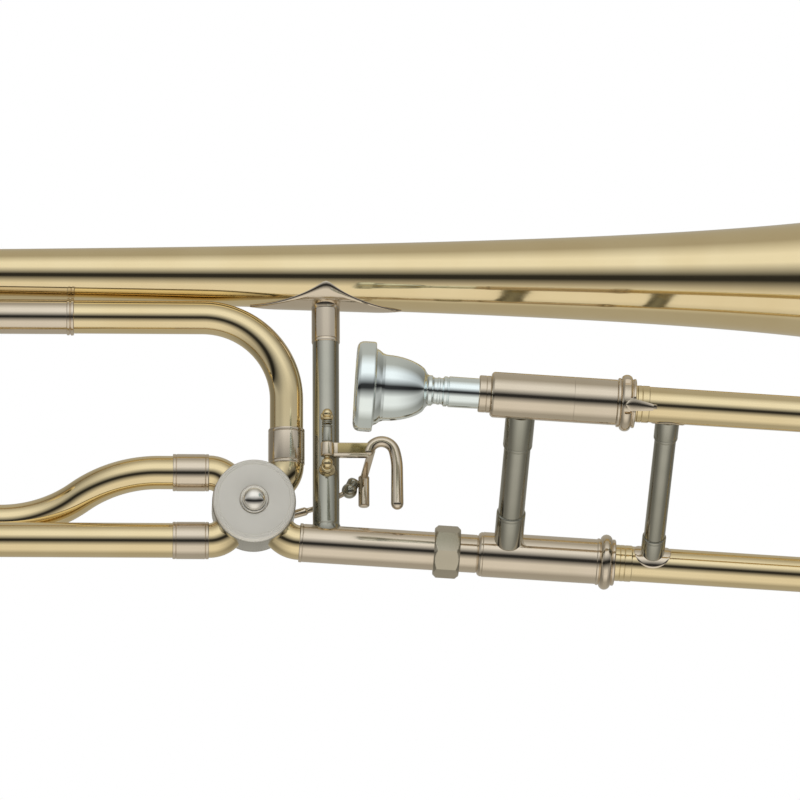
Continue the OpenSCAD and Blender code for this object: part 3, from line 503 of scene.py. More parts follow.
def bell_outline():
    """Outer curve, rolled wire at the mouth, and inner curve; stations crowd towards the mouth."""
    pole = BELL_X[1] + POLE_GAP
    reach = pole - BELL_X[0]
    steps = 90
    last = BELL_X[1] - RIM_R
    xs = [pole - reach * ((pole - last) / reach) ** (i / steps) for i in range(steps + 1)]
    outer = [(x, bell_radius(x)) for x in xs]
    rim = arc(last, MOUTH_R - RIM_R, RIM_R, RIM_R, 150, -24, 11)
    skin = [(x, r - WALL * sqrt(1 + (BELL_POWER * r / (pole - x)) ** 2)) for x, r in outer[:-3]]
    return outer[:-3] + rim + skin[::-1]


def make_bell():
    nodes = ("bell_stem", "bell_flare")
    turned("bell", BELL, bell_outline(), BRASS, "bell_section", *nodes, sides=144, radius=0)


def make_bell_brace():
    body = "bell_section"
    # Saddle: a diamond of thin sheet wrapped round the underside of the bell, with blunt side tips
    length = span("bell_brace_flange", 0)[1]
    width = span("bell_brace_flange", 1)[1]
    blunt = 0.055
    rows, columns = 49, 33
    layers = []
    for thick in (0.85, -0.05):
        for i in range(rows):
            s = -1 + 2 * i / (rows - 1)
            x = s * length
            half = max(width * (1 - math.hypot(s, blunt)), 0.25)
            for j in range(columns):
                y = half * (-1 + 2 * j / (columns - 1))
                edge = min((1 - abs(2 * j / (columns - 1) - 1)) * half, 0.5) / 0.5
                r = bell_radius(x) + thick * (0.45 + 0.55 * sin(edge * pi / 2))
                layers.append((x, y, -sqrt(r * r - y * y)))
    saddle = sheet(Shape(), BELL, layers, rows, columns)
    piece("bell_brace_saddle", saddle, NICKEL, body, "bell_brace_flange")

    top = BELL_Z - bell_radius(0)
    low = span("bell_brace_socket", 2)[0]
    upright = turn(-90, "Y")
    collar_r, post_r = 6.35, 5.95
    collar = near(low, collar_r, (0, -0.25), (0.35, 0), (1.5, 0), (1.7, -0.15), (1.9, 0))
    collar += near(top, collar_r, (-1.2, 0), (-0.3, 0.5), (1.2, 0.9))
    collar += [(top + 1.2, post_r), (low, post_r)]
    turned("bell_brace_collar", upright, collar, NICKEL, body, "bell_brace_socket")
    foot = NECK_R - 3.4
    post = near(foot, post_r, (0, 0.5), (3.2, 0.5), (3.9, 0.15), (4.5, 0))
    post += [(low + 8, post_r), (low + 8, post_r - 1), (foot, post_r - 1)]
    turned("bell_brace_post", upright, post, DULL, body, "bell_brace_tube")


# ---------- neckpipe and valve ----------

def make_neckpipe():
    thread = 9.7
    ring = near(0, NECK_R, (-12, 0), (-11.7, 0.2), (-10.7, 0.2), (-10.5, -0.1), (-10.2, 0))
    profile = [(-12, 7.15)] + ring
    profile += [(NUT_U[0], NECK_R), (NUT_U[0], thread)]
    for i in range(13):
        u = NUT_U[0] + 0.2 + i * 0.5
        profile += [(u, thread), (u + 0.25, thread - 0.25)]
    profile += [(55, thread - 0.2), (55, 7.9), (30, 7.9), (30, 7.15)]
    turned_part("neckpipe", NECK, profile, NICKEL, "bell_section", radius=0.12)


def make_valve():
    body = "bell_section"
    front, back = -12.0, 10.0
    casing_r = 18.6
    # Lathe shapes on the rotor's axis: local X of the lathe runs along the axis
    along = ROTOR @ turn(90, "Z")
    casing = [(front, 17.0)] + near(front, casing_r, (0, -0.5), (0.5, 0))
    casing += near(back, casing_r, (-0.5, 0), (0, -0.5)) + [(back, 17.0)]
    turned_part("valve_casing", along, casing, CASING, body, sides=96)

    face = front - 4.4
    cap_r = 18.2
    rings = []
    for r in (cap_r - 1.3, cap_r - 2.2):
        rings += [(face, r + 0.16), (face + 0.22, r), (face, r - 0.16)]
    cap = [(front, 16.9), (front, cap_r)] + near(face, cap_r, (0.9, 0), (0.2, -0.35), (0, -0.8))
    cap += rings + [(face, 6.5), (face + 0.5, 6.3), (face + 0.5, 0.0), (front, 0.0)]
    turned_part("valve_cap", along, cap, CAP, body, sides=96, radius=0.12)
    dome = near(face, 0, (0.5, 6.2), (-0.8, 6.2), (-1.2, 5.9), (-1.2, 5.6), (-0.9, 5.4))
    dome += arc(face - 1.0, 0, 3.6, 5.3, 96, 8, 10) + [(face - 4.6, 0.0), (face + 0.5, 0.0)]
    turned("valve_cap_dome", along, dome, DOME, body, radius=0.1)

    plate = near(back, 0, (0, 0.0), (0, 18.0), (1.6, 18.0), (2, 17.6), (2, 14.5), (1.8, 14.3))
    plate += near(back, 0, (1.8, 14.0), (2, 13.8), (2, 3.05), (1.2, 3.05), (1.2, 0.0))
    turned_part("rear_bearing_plate", along, plate, CAP, body, sides=96, radius=0.12)
    corks = Shape()
    spread = math.degrees(math.asin(4.2 / 10.5))
    for angle in (150 + spread, 60 - spread):
        spot = ROTOR @ turn(-angle, "Y") @ move(x=10.5) @ turn(90, "Z")
        lathe(corks, spot, [(12, 0.0), (12, 2.0), (14.8, 2.0), (14.8, 0.0)], 32, 0.3)
    part("stop_corks", corks, CORK, body)

    knuckles = Shape()
    port_r, bore_r = 7.75, 6.95
    bend_r = 10.9
    inside = 2.0
    for start in (VALVE @ move(PORT_X), VALVE @ move(PORT_X, 0, 2 * PORT_RISE) @ turn(180, "X")):
        tube(knuckles, Route(start).bend(bend_r, 45).straight(inside), port_r, bore_r)
    rise = VALVE @ move(ELBOW_X, 0, ELBOW_START) @ turn(90, "Y")
    tube(knuckles, Route(rise).bend(bend_r, 45, 180).straight(inside), port_r, bore_r)
    back_turn = NECK @ move(-12) @ turn(180, "Z")
    tube(knuckles, Route(back_turn).bend(11.7, 45 - SLIDE_DROP).straight(inside), port_r, bore_r)
    part("valve_knuckles", knuckles, BRASS, body)


# ---------- tubing of the bell section ----------

def make_wrap():
    body = "bell_section"
    top = VALVE @ Vector((0, 0, 101.8))
    leg_a = (top.y, top.z)
    tilt = radians(20)
    bow_r = 24.3
    leg_b = (leg_a[0] - 2 * bow_r * sin(tilt), leg_a[1] - 2 * bow_r * cos(tilt))
    leg_c = (leg_b[0] + 36, leg_b[1])
    leg_d = (leg_c[0], 13.5)
    rear_x = -216.7
    front_x = -176.7
    sleeve_x = span("f_sleeves", 0)

    port = (PORT_X - 16.1, PORT_X)
    entry_at = VALVE @ Vector((0, 0, 2 * PORT_RISE))
    entry = move(0, entry_at.y, entry_at.z)
    ferrules = lathes((MAIN, entry), ferrule_outline(*port, 8.3, F_TUBE_R))
    upright = VALVE @ move(ELBOW_X, 0, ELBOW_START) @ turn(-90, "Y")
    lathe(ferrules, upright, ferrule_outline(0, 16.1, 8.15, F_TUBE_R))
    for at in (leg_c, leg_d):
        lathe(ferrules, move(0, *at), ferrule_outline(rear_x, rear_x + 13, 8.1, F_TUBE_R))
    part("tube_ferrules", ferrules, NICKEL, body)

    turned_part("main_tube", MAIN, pipe_outline(BELL_X[0], PORT_X - 1, 7.75, 7.15), BRASS, body)
    for name, place, r, joint in (("upper_tuning_sleeve", BELL, 11.3, bell_radius(-157)),
                                  ("lower_tuning_sleeve", MAIN, 8.3, 7.75)):
        low, high = -225.0, BELL_X[0]
        profile = near(low, r, (0, -0.6), (0, 0.3), (0.6, 0.7), (1.9, 0.7), (2.5, 0))
        profile += near(high, r, (-6, 0), (-6, 0.8), (-4.6, 0.8), (-4.4, 0.6), (-4.2, 0.8))
        profile += near(high, r, (6, 0.8), (6.2, 0.6), (6.4, 0.8), (8, 0.8))
        profile += [(high + 8, joint), (high, joint), (high, r - 0.6)]
        turned_part(name, place, profile, NICKEL, body)

    elbow = Route(VALVE @ move(ELBOW_X, 0, ELBOW_START + 1) @ turn(-90, "Y"))
    elbow.straight(101.8 - 37.5 - ELBOW_START - 1).bend(37.5, 90, 0, 30)
    elbow.straight(ELBOW_X - 37.5 - sleeve_x[1] + 1)
    part("f_elbow_tube", tube(Shape(), elbow, F_TUBE_R, F_BORE_R, 64), BRASS, body)

    sleeves = Shape()
    for at, end in ((leg_a, sleeve_x[1] - 1.2), (leg_b, front_x - 1.2)):
        low, high, r = -214.7, end, 7.75
        profile = [(low, 7.25)] + near(low, r, (0, 0.3), (0.4, 0.5), (2.2, 0.5), (2.6, 0))
        profile += near(high, r, (-2.0, 0), (-1.9, 0.45), (-0.9, 0.6), (-0.7, 0.1))
        profile += near(high, r, (-0.3, 0.1), (-0.1, 0.6), (0.9, 0.6), (1.2, 0.3))
        profile += [(high + 1.2, F_TUBE_R), (high, F_TUBE_R), (high, 7.25)]
        lathe(sleeves, move(0, *at), profile, SIDES, 0.12)
    part("f_sleeves", sleeves, NICKEL, body)

    # From the F tuning slide round the level front bend, back along leg C and round the rear bend
    course = Route(move(front_x - 1.1, *leg_b)).straight(1.1).bend(18, 180, -90, 44)
    course.straight(front_x - rear_x - 1)
    part("f_return_tube", tube(Shape(), course, F_TUBE_R, F_BORE_R), BRASS, body)
    rear = Route(move(rear_x + 1, *leg_c) @ turn(180, "Z")).straight(1)
    rear.bend((leg_c[1] - leg_d[1]) / 2, 180, 180, 44).straight(1)
    part("f_rear_bend", tube(Shape(), rear, F_TUBE_R, F_BORE_R), BRASS, body)

    shift = math.hypot(leg_d[0] - entry_at.y, entry_at.z - leg_d[1])
    lean = math.degrees(math.atan2(leg_d[0] - entry_at.y, entry_at.z - leg_d[1]))
    swan_r = 58
    sweep = math.degrees(math.acos(1 - shift / (2 * swan_r)))
    swan = Route(entry @ turn(lean, "X") @ move(PORT_X - 1) @ turn(180, "Z"))
    swan.straight(74.5 + PORT_X - 1).bend(swan_r, sweep, 180, 24).bend(swan_r, sweep, 0, 24)
    swan.straight(swan.stations[-1].translation.x - rear_x - 1)
    part("f_entry_tube", tube(Shape(), swan, F_TUBE_R, F_BORE_R, 64), BRASS, body)

    stays = Shape()
    for one, r1, two, r2 in (((0, BELL_Z), 11.3, leg_a, 7.75), (leg_a, 7.75, leg_c, F_TUBE_R),
                             (leg_d, F_TUBE_R, (0, MAIN_Z), 8.3)):
        gap = Vector((0, two[0] - one[0], two[1] - one[1]))
        start = basis((-192, *one), gap, (1, 0, 0))
        low, high = r1 - 0.4, gap.length - r2 + 0.4
        lathe(stays, start, stay_outline(low, high, 3.6, (0.9, 3.3), (1.3, 2.5)), 32, 0.3)
    part("wrap_braces", stays, NICKEL, body)
    return leg_a, leg_b, bow_r


# ---------- tuning slides ----------

def make_main_tuning_slide():
    body = "main_tuning_slide"
    bow_x = span("tuning_legs", 0)[0]
    bow_r = (BELL_Z - MAIN_Z) / 2
    tip = span("tuning_legs", 0)[1]
    upper_r, lower_r = 10.65, 7.65
    legs = Shape()
    for place, r in ((BELL, upper_r), (MAIN, lower_r)):
        lathe(legs, place, pipe_outline(bow_x, tip, r, r - WALL))
    part("tuning_legs", legs, NICKEL, body)
    course = Route(BELL @ move(bow_x + 0.5) @ turn(180, "Z"))
    course.straight(0.5).bend(bow_r, 180, 180, 60).straight(0.5)
    bow = tube(Shape(), course, upper_r, upper_r - WALL, 72, lower_r)
    part("tuning_bow", bow, BRASS, body)
    joint = (bow_x, -225.3)
    rings = Shape()
    lathe(rings, BELL, ferrule_outline(*joint, upper_r + 0.9, upper_r))
    lathe(rings, MAIN, ferrule_outline(*joint, lower_r + 0.9, lower_r))
    stay_x = -268.0
    rise = sqrt(bow_r ** 2 - (bow_x - stay_x) ** 2)
    centre = (BELL_Z + MAIN_Z) / 2
    low, high = -rise + 6.2, rise - 8.2
    stay = stay_outline(low, high, 3.4, (2.2, 3.2), (3.4, 2.5))
    lathe(rings, move(stay_x, 5.5, centre) @ turn(-90, "Y"), stay, 32, 0.5)
    part("tuning_bow_ferrules", rings, NICKEL, body)


def make_f_tuning_slide(leg_a, leg_b, bow_r):
    body = "f_tuning_slide"
    tip = span("f_tuning_legs", 0)[1]
    bow_x = span("f_tuning_legs", 0)[0]
    places = (move(0, *leg_a), move(0, *leg_b))
    part("f_tuning_legs", lathes(places, pipe_outline(bow_x, tip, 7.2, 6.7)), NICKEL, body)
    down = Vector((0, leg_b[0] - leg_a[0], leg_b[1] - leg_a[1]))
    start = basis((bow_x + 0.5, *leg_a), (-1, 0, 0), -down)
    course = Route(start).straight(0.5).bend(bow_r, 180, 180, 44).straight(0.5)
    part("f_tuning_bow", tube(Shape(), course, F_TUBE_R, F_BORE_R), BRASS, body)
    rings = lathes(places, ferrule_outline(bow_x, -215.0, 8.2, 7.2))
    middle = basis((bow_x + 8, *leg_a), down, (1, 0, 0))
    low, high = 8.0, down.length - 8.0
    stay = stay_outline(low, high, 3.2, (1.0, 3.0), (1.8, 2.25))
    lathe(rings, middle, stay, 32, 0.4)
    part("f_tuning_ferrules", rings, NICKEL, body)


# ---------- receiver nut and inner slide ----------

def make_receiver_nut():
    """Octagonal nut: a turned blank with both ends chamfered, cut to eight flats."""
    flats, corner_r, facing = 8, 11.7, 12
    low, high = NUT_U
    rows = 41
    sides = flats * 12
    points = []
    for i in range(rows):
        u = low + (high - low) * i / (rows - 1)
        chamfer = corner_r - max(0.0, 1.5 - min(u - low, high - u)) * 0.9
        for j in range(sides):
            a = 2 * pi * j / sides
            from_middle = a % (2 * pi / flats) - pi / flats
            r = min(corner_r * cos(pi / flats) / cos(from_middle), chamfer)
            points.append((u, r * cos(a), r * sin(a)))
    for u, r in ((high, 8.55), (57.6, 8.55), (57.6, 9.75), (low, 9.75)):
        points += circle(u, r, sides)
    shape = Shape().add(NECK @ turn(facing, "X"), points, grid_faces(rows + 4, sides, True, True))
    part("receiver_nut", shape, NUT_METAL, "receiver_nut", sharp=12)


def make_inner_slide():
    body = "slide_inner"
    thin = INNER_R - 0.4
    start, end = LOWER_BARREL_U
    tenon = [(31, thin), (31.4, 7.85), (55.2, 7.85), (55.2, 9.6), (57.3, 9.6), (57.3, NECK_R)]
    tenon += near(start, NECK_R, (-0.5, 0), (-0.3, -0.2), (0, -0.2)) + [(start, thin)]
    turned_part("slide_tenon", SLIDE, tenon, NICKEL, body)

    r = 10.0
    bead = near(end, r, (-8.3, 0), (-8.1, 0.35), (-7.3, 0.45), (-7.0, 0.1))
    bead += arc(end - 4.2, r - 0.35, 2.7, 2.65, 165, -18.5, 9)
    bead += near(end, r, (-1.4, 0.05), (-1.2, 0.3), (-0.4, 0.3))
    barrel = [(start, INNER_R)] + near(start, r, (0, -1.6), (0.5, -0.7), (1.4, -0.15))
    barrel += near(start, r, (2.0, -0.1), (2.2, -0.25), (2.4, 0)) + bead
    barrel += [(end, r - 0.2), (end, r - 1.2), (97, r - 1.2), (97, INNER_R)]
    turned_part("lower_barrel", SLIDE, barrel, NICKEL, body, radius=0.12)

    start, end = UPPER_BARREL_U
    seat = RING_U[0] - 0.2
    barrel = [(start, 7.85)] + near(start, r, (0, -1.1), (0.5, -0.4), (1.3, 0))
    barrel += near(0, r, (103, 0), (103.12, -0.08), (103.24, 0), (seat, 0), (seat, -0.6))
    barrel += near(0, r, (end, -0.6), (end, -1.2), (97, -1.2)) + [(97, 7.85)]
    turned_part("upper_barrel", UPPER, barrel, NICKEL, body, radius=0.15)
    receiver = [
        (61.5, 6.7), (61.5, 7.7), (61.9, 8.1), (64.6, 8.1), (64.8, 7.9), (65.0, 8.1), (66.6, 8.1),
        (66.6, 7.8), (94, 7.8), (94, 6.75), (230, 6.75), (230, 6.45), (110, 6.1), (91, 6.1), (90.4, 6.35),
    ]
    turned_part("leadpipe", UPPER, receiver, NICKEL, body, radius=0.12)

    tip, stocking_r = 765, 7.375
    starts = (("upper_inner_tube", UPPER, 94.2), ("lower_inner_tube", SLIDE, LOWER_BARREL_U[0]))
    for name, place, first in starts:
        inner = [(first, thin), (first, INNER_R), (tip - 100, INNER_R), (tip - 98, stocking_r)]
        inner += [(tip, stocking_r), (tip, thin)]
        turned_part(name, place, inner, CHROME, body)

    brace_u = 80.6
    upright = SLIDE @ move(brace_u) @ turn(-90, "Y")
    turned_part("inner_brace_tube", upright, pipe_outline(9.5, TUBE_GAP - 9.5, 5.85, 4.85), DULL, body)
    sockets = Shape()
    for low, high in ((8.2, 25.2), (TUBE_GAP - 8.2, 62.5)):
        lathe(sockets, upright, socket_outline(low, high, 6.45, 5.85, 1.8, 6.1))
    part("inner_brace_sockets", sockets, DULL, body)
    part("slide_corks", lathes((SLIDE, UPPER), pipe_outline(97.2, 119.1, 8.6, 7.35)), CORK, body)


def make_lock_ring():
    """Ring with a rounded bead between two collars, a groove for the hook and a notch that lets it in."""
    bore, r, collar_r, floor_r = 9.45, 12.4, 10.75, 10.6
    start, end = RING_U
    outline = [(start, bore)] + near(start, collar_r, (0, -0.4), (0.3, 0), (1.1, 0), (1.4, -0.3))
    outline += arc(start + 3.9, collar_r - 0.1, 2.4, r - collar_r + 0.1, 165, -12.5, 13)
    outline += near(end, collar_r, (-1.5, -0.25), (-1.2, -0.3), (-1.0, 0), (-0.3, 0), (0, -0.4))
    outline.append((end, bore))
    # Extra stations at the groove's edges keep its walls upright
    stations = []
    for (x1, r1), (x2, r2) in zip(outline, outline[1:] + outline[:1]):
        stations.append((x1, r1))
        for edge in RING_GROOVE_U:
            for x in (edge - 0.02, edge + 0.02):
                if x1 < x < x2:
                    stations.append((x, r1 + (r2 - r1) * (x - x1) / (x2 - x1)))
    sides = 180
    notch = math.degrees(3.4 / 12)
    points = []
    for j in range(sides):
        angle = (360 * j / sides + 180) % 360 - 180
        in_groove = -58 <= angle <= 18
        in_notch = abs(angle) < notch
        for x, radius in stations:
            groove = in_groove and RING_GROOVE_U[0] < x < RING_GROOVE_U[1]
            cut = groove or in_notch and x > RING_GROOVE_U[0]
            rr = min(radius, floor_r) if cut else radius
            a = radians(angle)
            points.append((x, -rr * sin(a), rr * cos(a)))
    ring = Shape().add(UPPER @ turn(LOCK_ANGLE, "X"), points, grid_faces(sides, len(stations), True, True))
    part("slide_lock_ring", ring, NICKEL, "lock_ring", sharp=28)


# ---------- outer slide ----------

def make_outer_slide():
    body = "slide_outer"
    start, end = OUTER_START_U, END_FERRULE_U
    for name, place in (("upper_outer_tube", UPPER), ("lower_outer_tube", SLIDE)):
        turned_part(name, place, pipe_outline(start, CROOK_U, OUTER_R, 7.45), BRASS, body)
    r = 8.1
    profile = [(start, OUTER_R), (start, r)]
    profile += near(end, r, (-5.6, 0), (-5.4, -0.2), (-5.2, 0), (-3.5, 0), (-3.3, -0.22), (-3.0, 0))
    profile += near(end, r, (-0.4, 0), (0, -0.2)) + [(end, OUTER_R)]
    part("outer_end_ferrules", lathes((SLIDE, UPPER), profile, SIDES, 0.1), BRASS, body)

    # Hook of the slide lock: a leaf-shaped blade over the ring, its tip bent down into the groove
    hook = Shape()
    blade = UPPER @ turn(LOCK_ANGLE, "X")
    rows, columns = 25, 9
    points = []
    first, last = 125.4, 137.4
    for layer in (1, -1):
        for i in range(rows):
            t = i / (rows - 1)
            u = first + (last - first) * t
            opening = sqrt(max(0.03, 1 - (1 - min(t * 4, 1)) ** 2))
            half = 2.5 * opening * (1 - 0.8 * max(0, t - 0.3) ** 1.5)
            for j in range(columns):
                across = -1 + 2 * j / (columns - 1)
                y = half * across - 0.9 * max(0, t - 0.4)
                crown = 0.35 * (1 - across ** 2)
                z = 13.3 + layer * 0.35 + crown - 2.4 * max(0, t - 0.6) ** 1.5
                points.append((u, y, z))
    sheet(hook, blade, points, rows, columns)
    block(hook, blade, (125.3, -1.7, 10.85), (127.15, 1.7, 13.3), 0.35)
    block(hook, blade, (136.6, -1.3, 7.6), (139.0, 0.7, 12.6), 0.5)
    part("lock_hook", hook, NICKEL, body)

    brace_u = 144.9
    upright = SLIDE @ move(brace_u) @ turn(-90, "Y")
    post = pipe_outline(7.4, TUBE_GAP - 7.4, 4.75, 3.95)
    turned_part("outer_brace_tube", upright, post, DULL, body, sides=64)
    sockets = Shape()
    for low, high in ((6.6, 16.8), (TUBE_GAP - 6.6, 72.0)):
        lathe(sockets, upright, socket_outline(low, high, 5.3, 4.75, 1.7, 5.0), 64)
    part("outer_brace_sockets", sockets, DULL, body)
    saddles = Shape()
    for place, side in ((SLIDE, 1), (UPPER, -1)):
        add_saddle(saddles, place @ move(brace_u), side, OUTER_R, 8.3, 5.0)
    piece("outer_brace_saddles", saddles, NICKEL, body)

    crook = Route(UPPER @ move(CROOK_U - 0.5)).straight(0.5).bend(TUBE_GAP / 2, 180, 180, 60).straight(0.5)
    part("slide_crook", tube(Shape(), crook, OUTER_R, 7.3, 64), BRASS, body)
    rings = lathes((SLIDE, UPPER), ferrule_outline(CROOK_U - 21, CROOK_U, OUTER_R + 0.7, OUTER_R))
    apex = SLIDE @ move(CROOK_U + TUBE_GAP / 2, 0, TUBE_GAP / 2)
    seat = [(5.5, 0.0), (5.5, 4.4), (8.0, 4.6), (8.4, 5.0), (10.1, 5.0), (10.5, 4.6), (10.5, 0.0)]
    lathe(rings, apex, seat, 48, 0.2)
    part("crook_ferrules", rings, NICKEL, body)
    bumper = [(10.5, 0.0), (10.5, 5.5), (11.2, 6.0), (12.6, 5.8), (13.2, 5.5), (13.8, 5.8), (16.0, 6.0)]
    bumper += arc(16.0, 4.0, 2, 2, 60, -30, 3) + [(18.0, 0.0)]
    turned_part("slide_bumper", apex, bumper, RUBBER, body, radius=0.1)


def add_saddle(shape, place, side, radius, reach, hole):
    """Round sheet-metal foot of a brace, wrapped on a tube; side is +1 or -1 for the way it faces."""
    rings, sides = 9, 64
    points = []
    for layer in (0.4, -0.05):
        for i in range(rings):
            rho = hole + (reach - hole) * i / (rings - 1)
            thin = 0.45 if i == rings - 1 else 1.0
            for j in range(sides):
                a = 2 * pi * j / sides
                x, y = rho * cos(a), rho * sin(a)
                wrap = y / radius
                r = radius + layer * thin
                points.append((x, side * r * sin(wrap), side * r * cos(wrap)))
    count = rings * sides
    faces = grid_faces(rings, sides, False, True)
    faces += [[i + count for i in face][::-1] for face in faces[:]]
    last = (rings - 1) * sides
    for j in range(sides):
        k = (j + 1) % sides
        faces.append([last + j, last + k, last + k + count, last + j + count])
        faces.append([j, j + count, k + count, k])
    shape.add(place, points, faces)


def make_water_key():
    pivot_u, nipple_u, pivot_z = 752.0, 770.0, -12.5
    body = "slide_outer"
    saddle = Shape()
    down = SLIDE @ move(nipple_u) @ turn(90, "Y")
    lathe(saddle, down, [(8.2, 1.5), (8.2, 3.5), (8.8, 3.2), (9.6, 3.2), (10.2, 2.9), (10.2, 1.5)], 40, 0.2)
    add_saddle(saddle, SLIDE @ move(pivot_u - 2.2), -1, OUTER_R, 6.5, 0.1)
    for y in (-3.9, 3.9):
        block(saddle, SLIDE @ move(pivot_u, y, 0), (-2.2, -0.7, -14.4), (2.2, 0.7, -6.6), 0.4)
    pin = SLIDE @ move(pivot_u, 0, pivot_z) @ turn(90, "Z")
    head = [(4.6, 0.8), (4.7, 1.3), (5.2, 1.1), (5.2, 0.0)]
    lathe(saddle, pin, [(-x, r) for x, r in head[::-1]] + head, 32, 0.1)
    part("water_key_saddle", saddle, NICKEL, body)
    coils = Shape()
    for y in (-2.7, 2.7):
        add_ring(coils, pin @ move(y), 1.35, 0.28)
    part("water_key_spring", coils, STEEL, body)

    key = Shape()
    hub = SLIDE @ move(pivot_u, 0, pivot_z)
    lathe(key, hub @ turn(90, "Z"), pipe_outline(-2.2, 2.2, 2.0, 0.85), 40)
    reach = nipple_u - pivot_u
    block(key, hub, (0.6, -1.5, -1.9), (reach - 1.5, 1.5, -0.3), 0.4)
    cup = near(-0.1, 0, (-2.1, 0.0), (-2.1, 3.0), (-1.6, 4.0), (0, 4.0), (0, 3.45), (-0.2, 0.0))
    lathe(key, hub @ move(reach) @ turn(-90, "Y"), cup, 48, 0.3)
    tilt = hub @ turn(-10, "Y")
    block(key, tilt, (-22, -1.5, -1.9), (-0.6, 1.5, -0.3), 0.4)
    touch = [(0.0, 0.0), (0.0, 4.0), (0.5, 4.5), (1.3, 4.5), (1.8, 4.0), (1.5, 0.0)]
    lathe(key, tilt @ move(-22.5, 0, -1.9) @ turn(-90, "Y"), touch, 48, 0.3)
    part("water_key_lever", key, NICKEL, "water_key")
    cork = SLIDE @ move(nipple_u) @ turn(90, "Y")
    plug = [(10.25, 0.0), (10.25, 3.2), (10.5, 3.4), (12.6, 3.4), (12.6, 0.0)]
    turned_part("water_key_cork", cork, plug, CORK, "water_key", sides=40, radius=0.2)


def add_ring(shape, place, radius, wire, turns=1, pitch=0.0):
    """Ring or coil of wire about the local X axis."""
    steps, sides = 48 * turns, 12
    points = []
    for i in range(steps + (1 if turns > 1 else 0)):
        a = 2 * pi * i / 48
        for j in range(sides):
            b = 2 * pi * j / sides
            r = radius + wire * cos(b)
            points.append((wire * sin(b) + pitch * i / 48, r * cos(a), r * sin(a)))
    rows = len(points) // sides
    faces = grid_faces(rows, sides, turns == 1, True)
    if turns > 1:
        faces += [list(range(sides))[::-1], list(range((rows - 1) * sides, rows * sides))]
    shape.add(place, points, faces)


# ---------- mouthpiece ----------

def make_mouthpiece():
    outside = [
        (10.9, 13.1), (9.9, 14.3), (9.5, 15.6), (9.5, 16.8), (9.8, 18.0), (10.5, 19.0), (11.6, 19.55),
        (13.0, 19.7), (17.1, 19.7), (17.7, 19.5), (17.95, 19.0), (18.0, 17.2), (18.4, 16.7),
        (19.5, 16.2), (21.0, 15.0), (21.9, 14.7), (22.2, 14.55), (23.1, 14.45),
    ]
    bowl = []
    for i in range(15):
        t = i / 14
        u = 24.0 + 16.7 * t
        bowl.append((u, 7.4 + (14.35 - 7.4) * (1 - t ** 1.7) ** 0.6))
    throat = [
        (41.3, 6.9), (41.6, 6.7), (43.0, 6.7), (43.4, 6.2), (43.8, 5.9), (44.2, 5.75), (45.3, 5.75),
        (45.6, 6.0), (46.4, 6.0), (46.7, 5.75), (47.6, 5.75), (48.0, 6.1), (48.3, 6.6), (49.6, 6.6),
        (49.9, 6.3), (50.2, 6.3), (50.5, 6.75), (65.3, 6.65), (91.8, 6.3), (91.8, 5.6),
    ]
    inside = [
        (44.0, 3.5), (38.0, 3.4), (36.0, 4.0), (33.5, 5.6), (30.0, 8.2), (26.0, 10.3), (21.0, 11.8),
        (16.0, 12.5), (13.0, 12.8),
    ]
    outline = outside + bowl + throat + inside
    place = UPPER @ move(RIM_U - 9.5)
    turned_part("mouthpiece", place, outline, SILVER, "mouthpiece", sides=96, radius=0.3)


# ---------- trigger ----------

HINGE = joint_point("lever_hinge")
LINK_END = Vector((10.9, 16, 29.1))
FOOT = Vector((17.4, 16, 0))


def rod_between(shape, start, end, radius, sides=32):
    way = Vector(end) - Vector(start)
    side = Vector((0, 0, 1)) if abs(way.normalized().z) < 0.9 else Vector((1, 0, 0))
    place = basis(start, way, way.cross(side))
    return lathe(shape, place, [(0, 0.0), (0, radius), (way.length, radius), (way.length, 0.0)], sides, 0.15)


def make_hinge_posts():
    body = "bell_section"
    at = move(HINGE.x, HINGE.y)
    upright = at @ turn(-90, "Y")
    posts = Shape()
    low, top = 34.6, 57.5
    ball(posts, at @ move(z=top), 2.3)
    ball(posts, at @ move(z=low), 2.6)
    lathe(posts, upright, [(low, 0.0), (low, 1.1), (top, 1.1), (top, 0.0)], 32, 0.1)
    washer = near(top, 0, (-3.0, 1.1), (-3.0, 2.2), (-2.5, 2.5), (-1.9, 2.2), (-1.9, 1.1))
    lathe(posts, upright, washer, 32, 0.15)
    back = move(HINGE.x, 0) @ turn(90, "Z")
    stud = near(HINGE.y, 0, (0.5, 0.0), (0.5, 1.6)) + [(-6.6, 1.6), (-6.2, 2.6), (-5.2, 3.0), (-5.2, 0.0)]
    lathe(posts, back @ move(z=top), stud, 40, 0.3)
    boss = near(HINGE.y, 0, (1.0, 0.0), (1.0, 2.5))
    boss += [(-8.0, 2.6), (-6.6, 3.3), (-5.0, 3.7), (-3.5, 3.9), (-3.5, 0.0)]
    lathe(posts, back @ move(z=low - 1.5), boss, 48, 0.5)
    part("lever_hinge_posts", posts, BRASS, body)
    spring = Shape()
    add_ring(spring, upright @ move(52.5), 2.1, 0.33, 2, 0.8)
    part("lever_spring", spring, DULL, body)


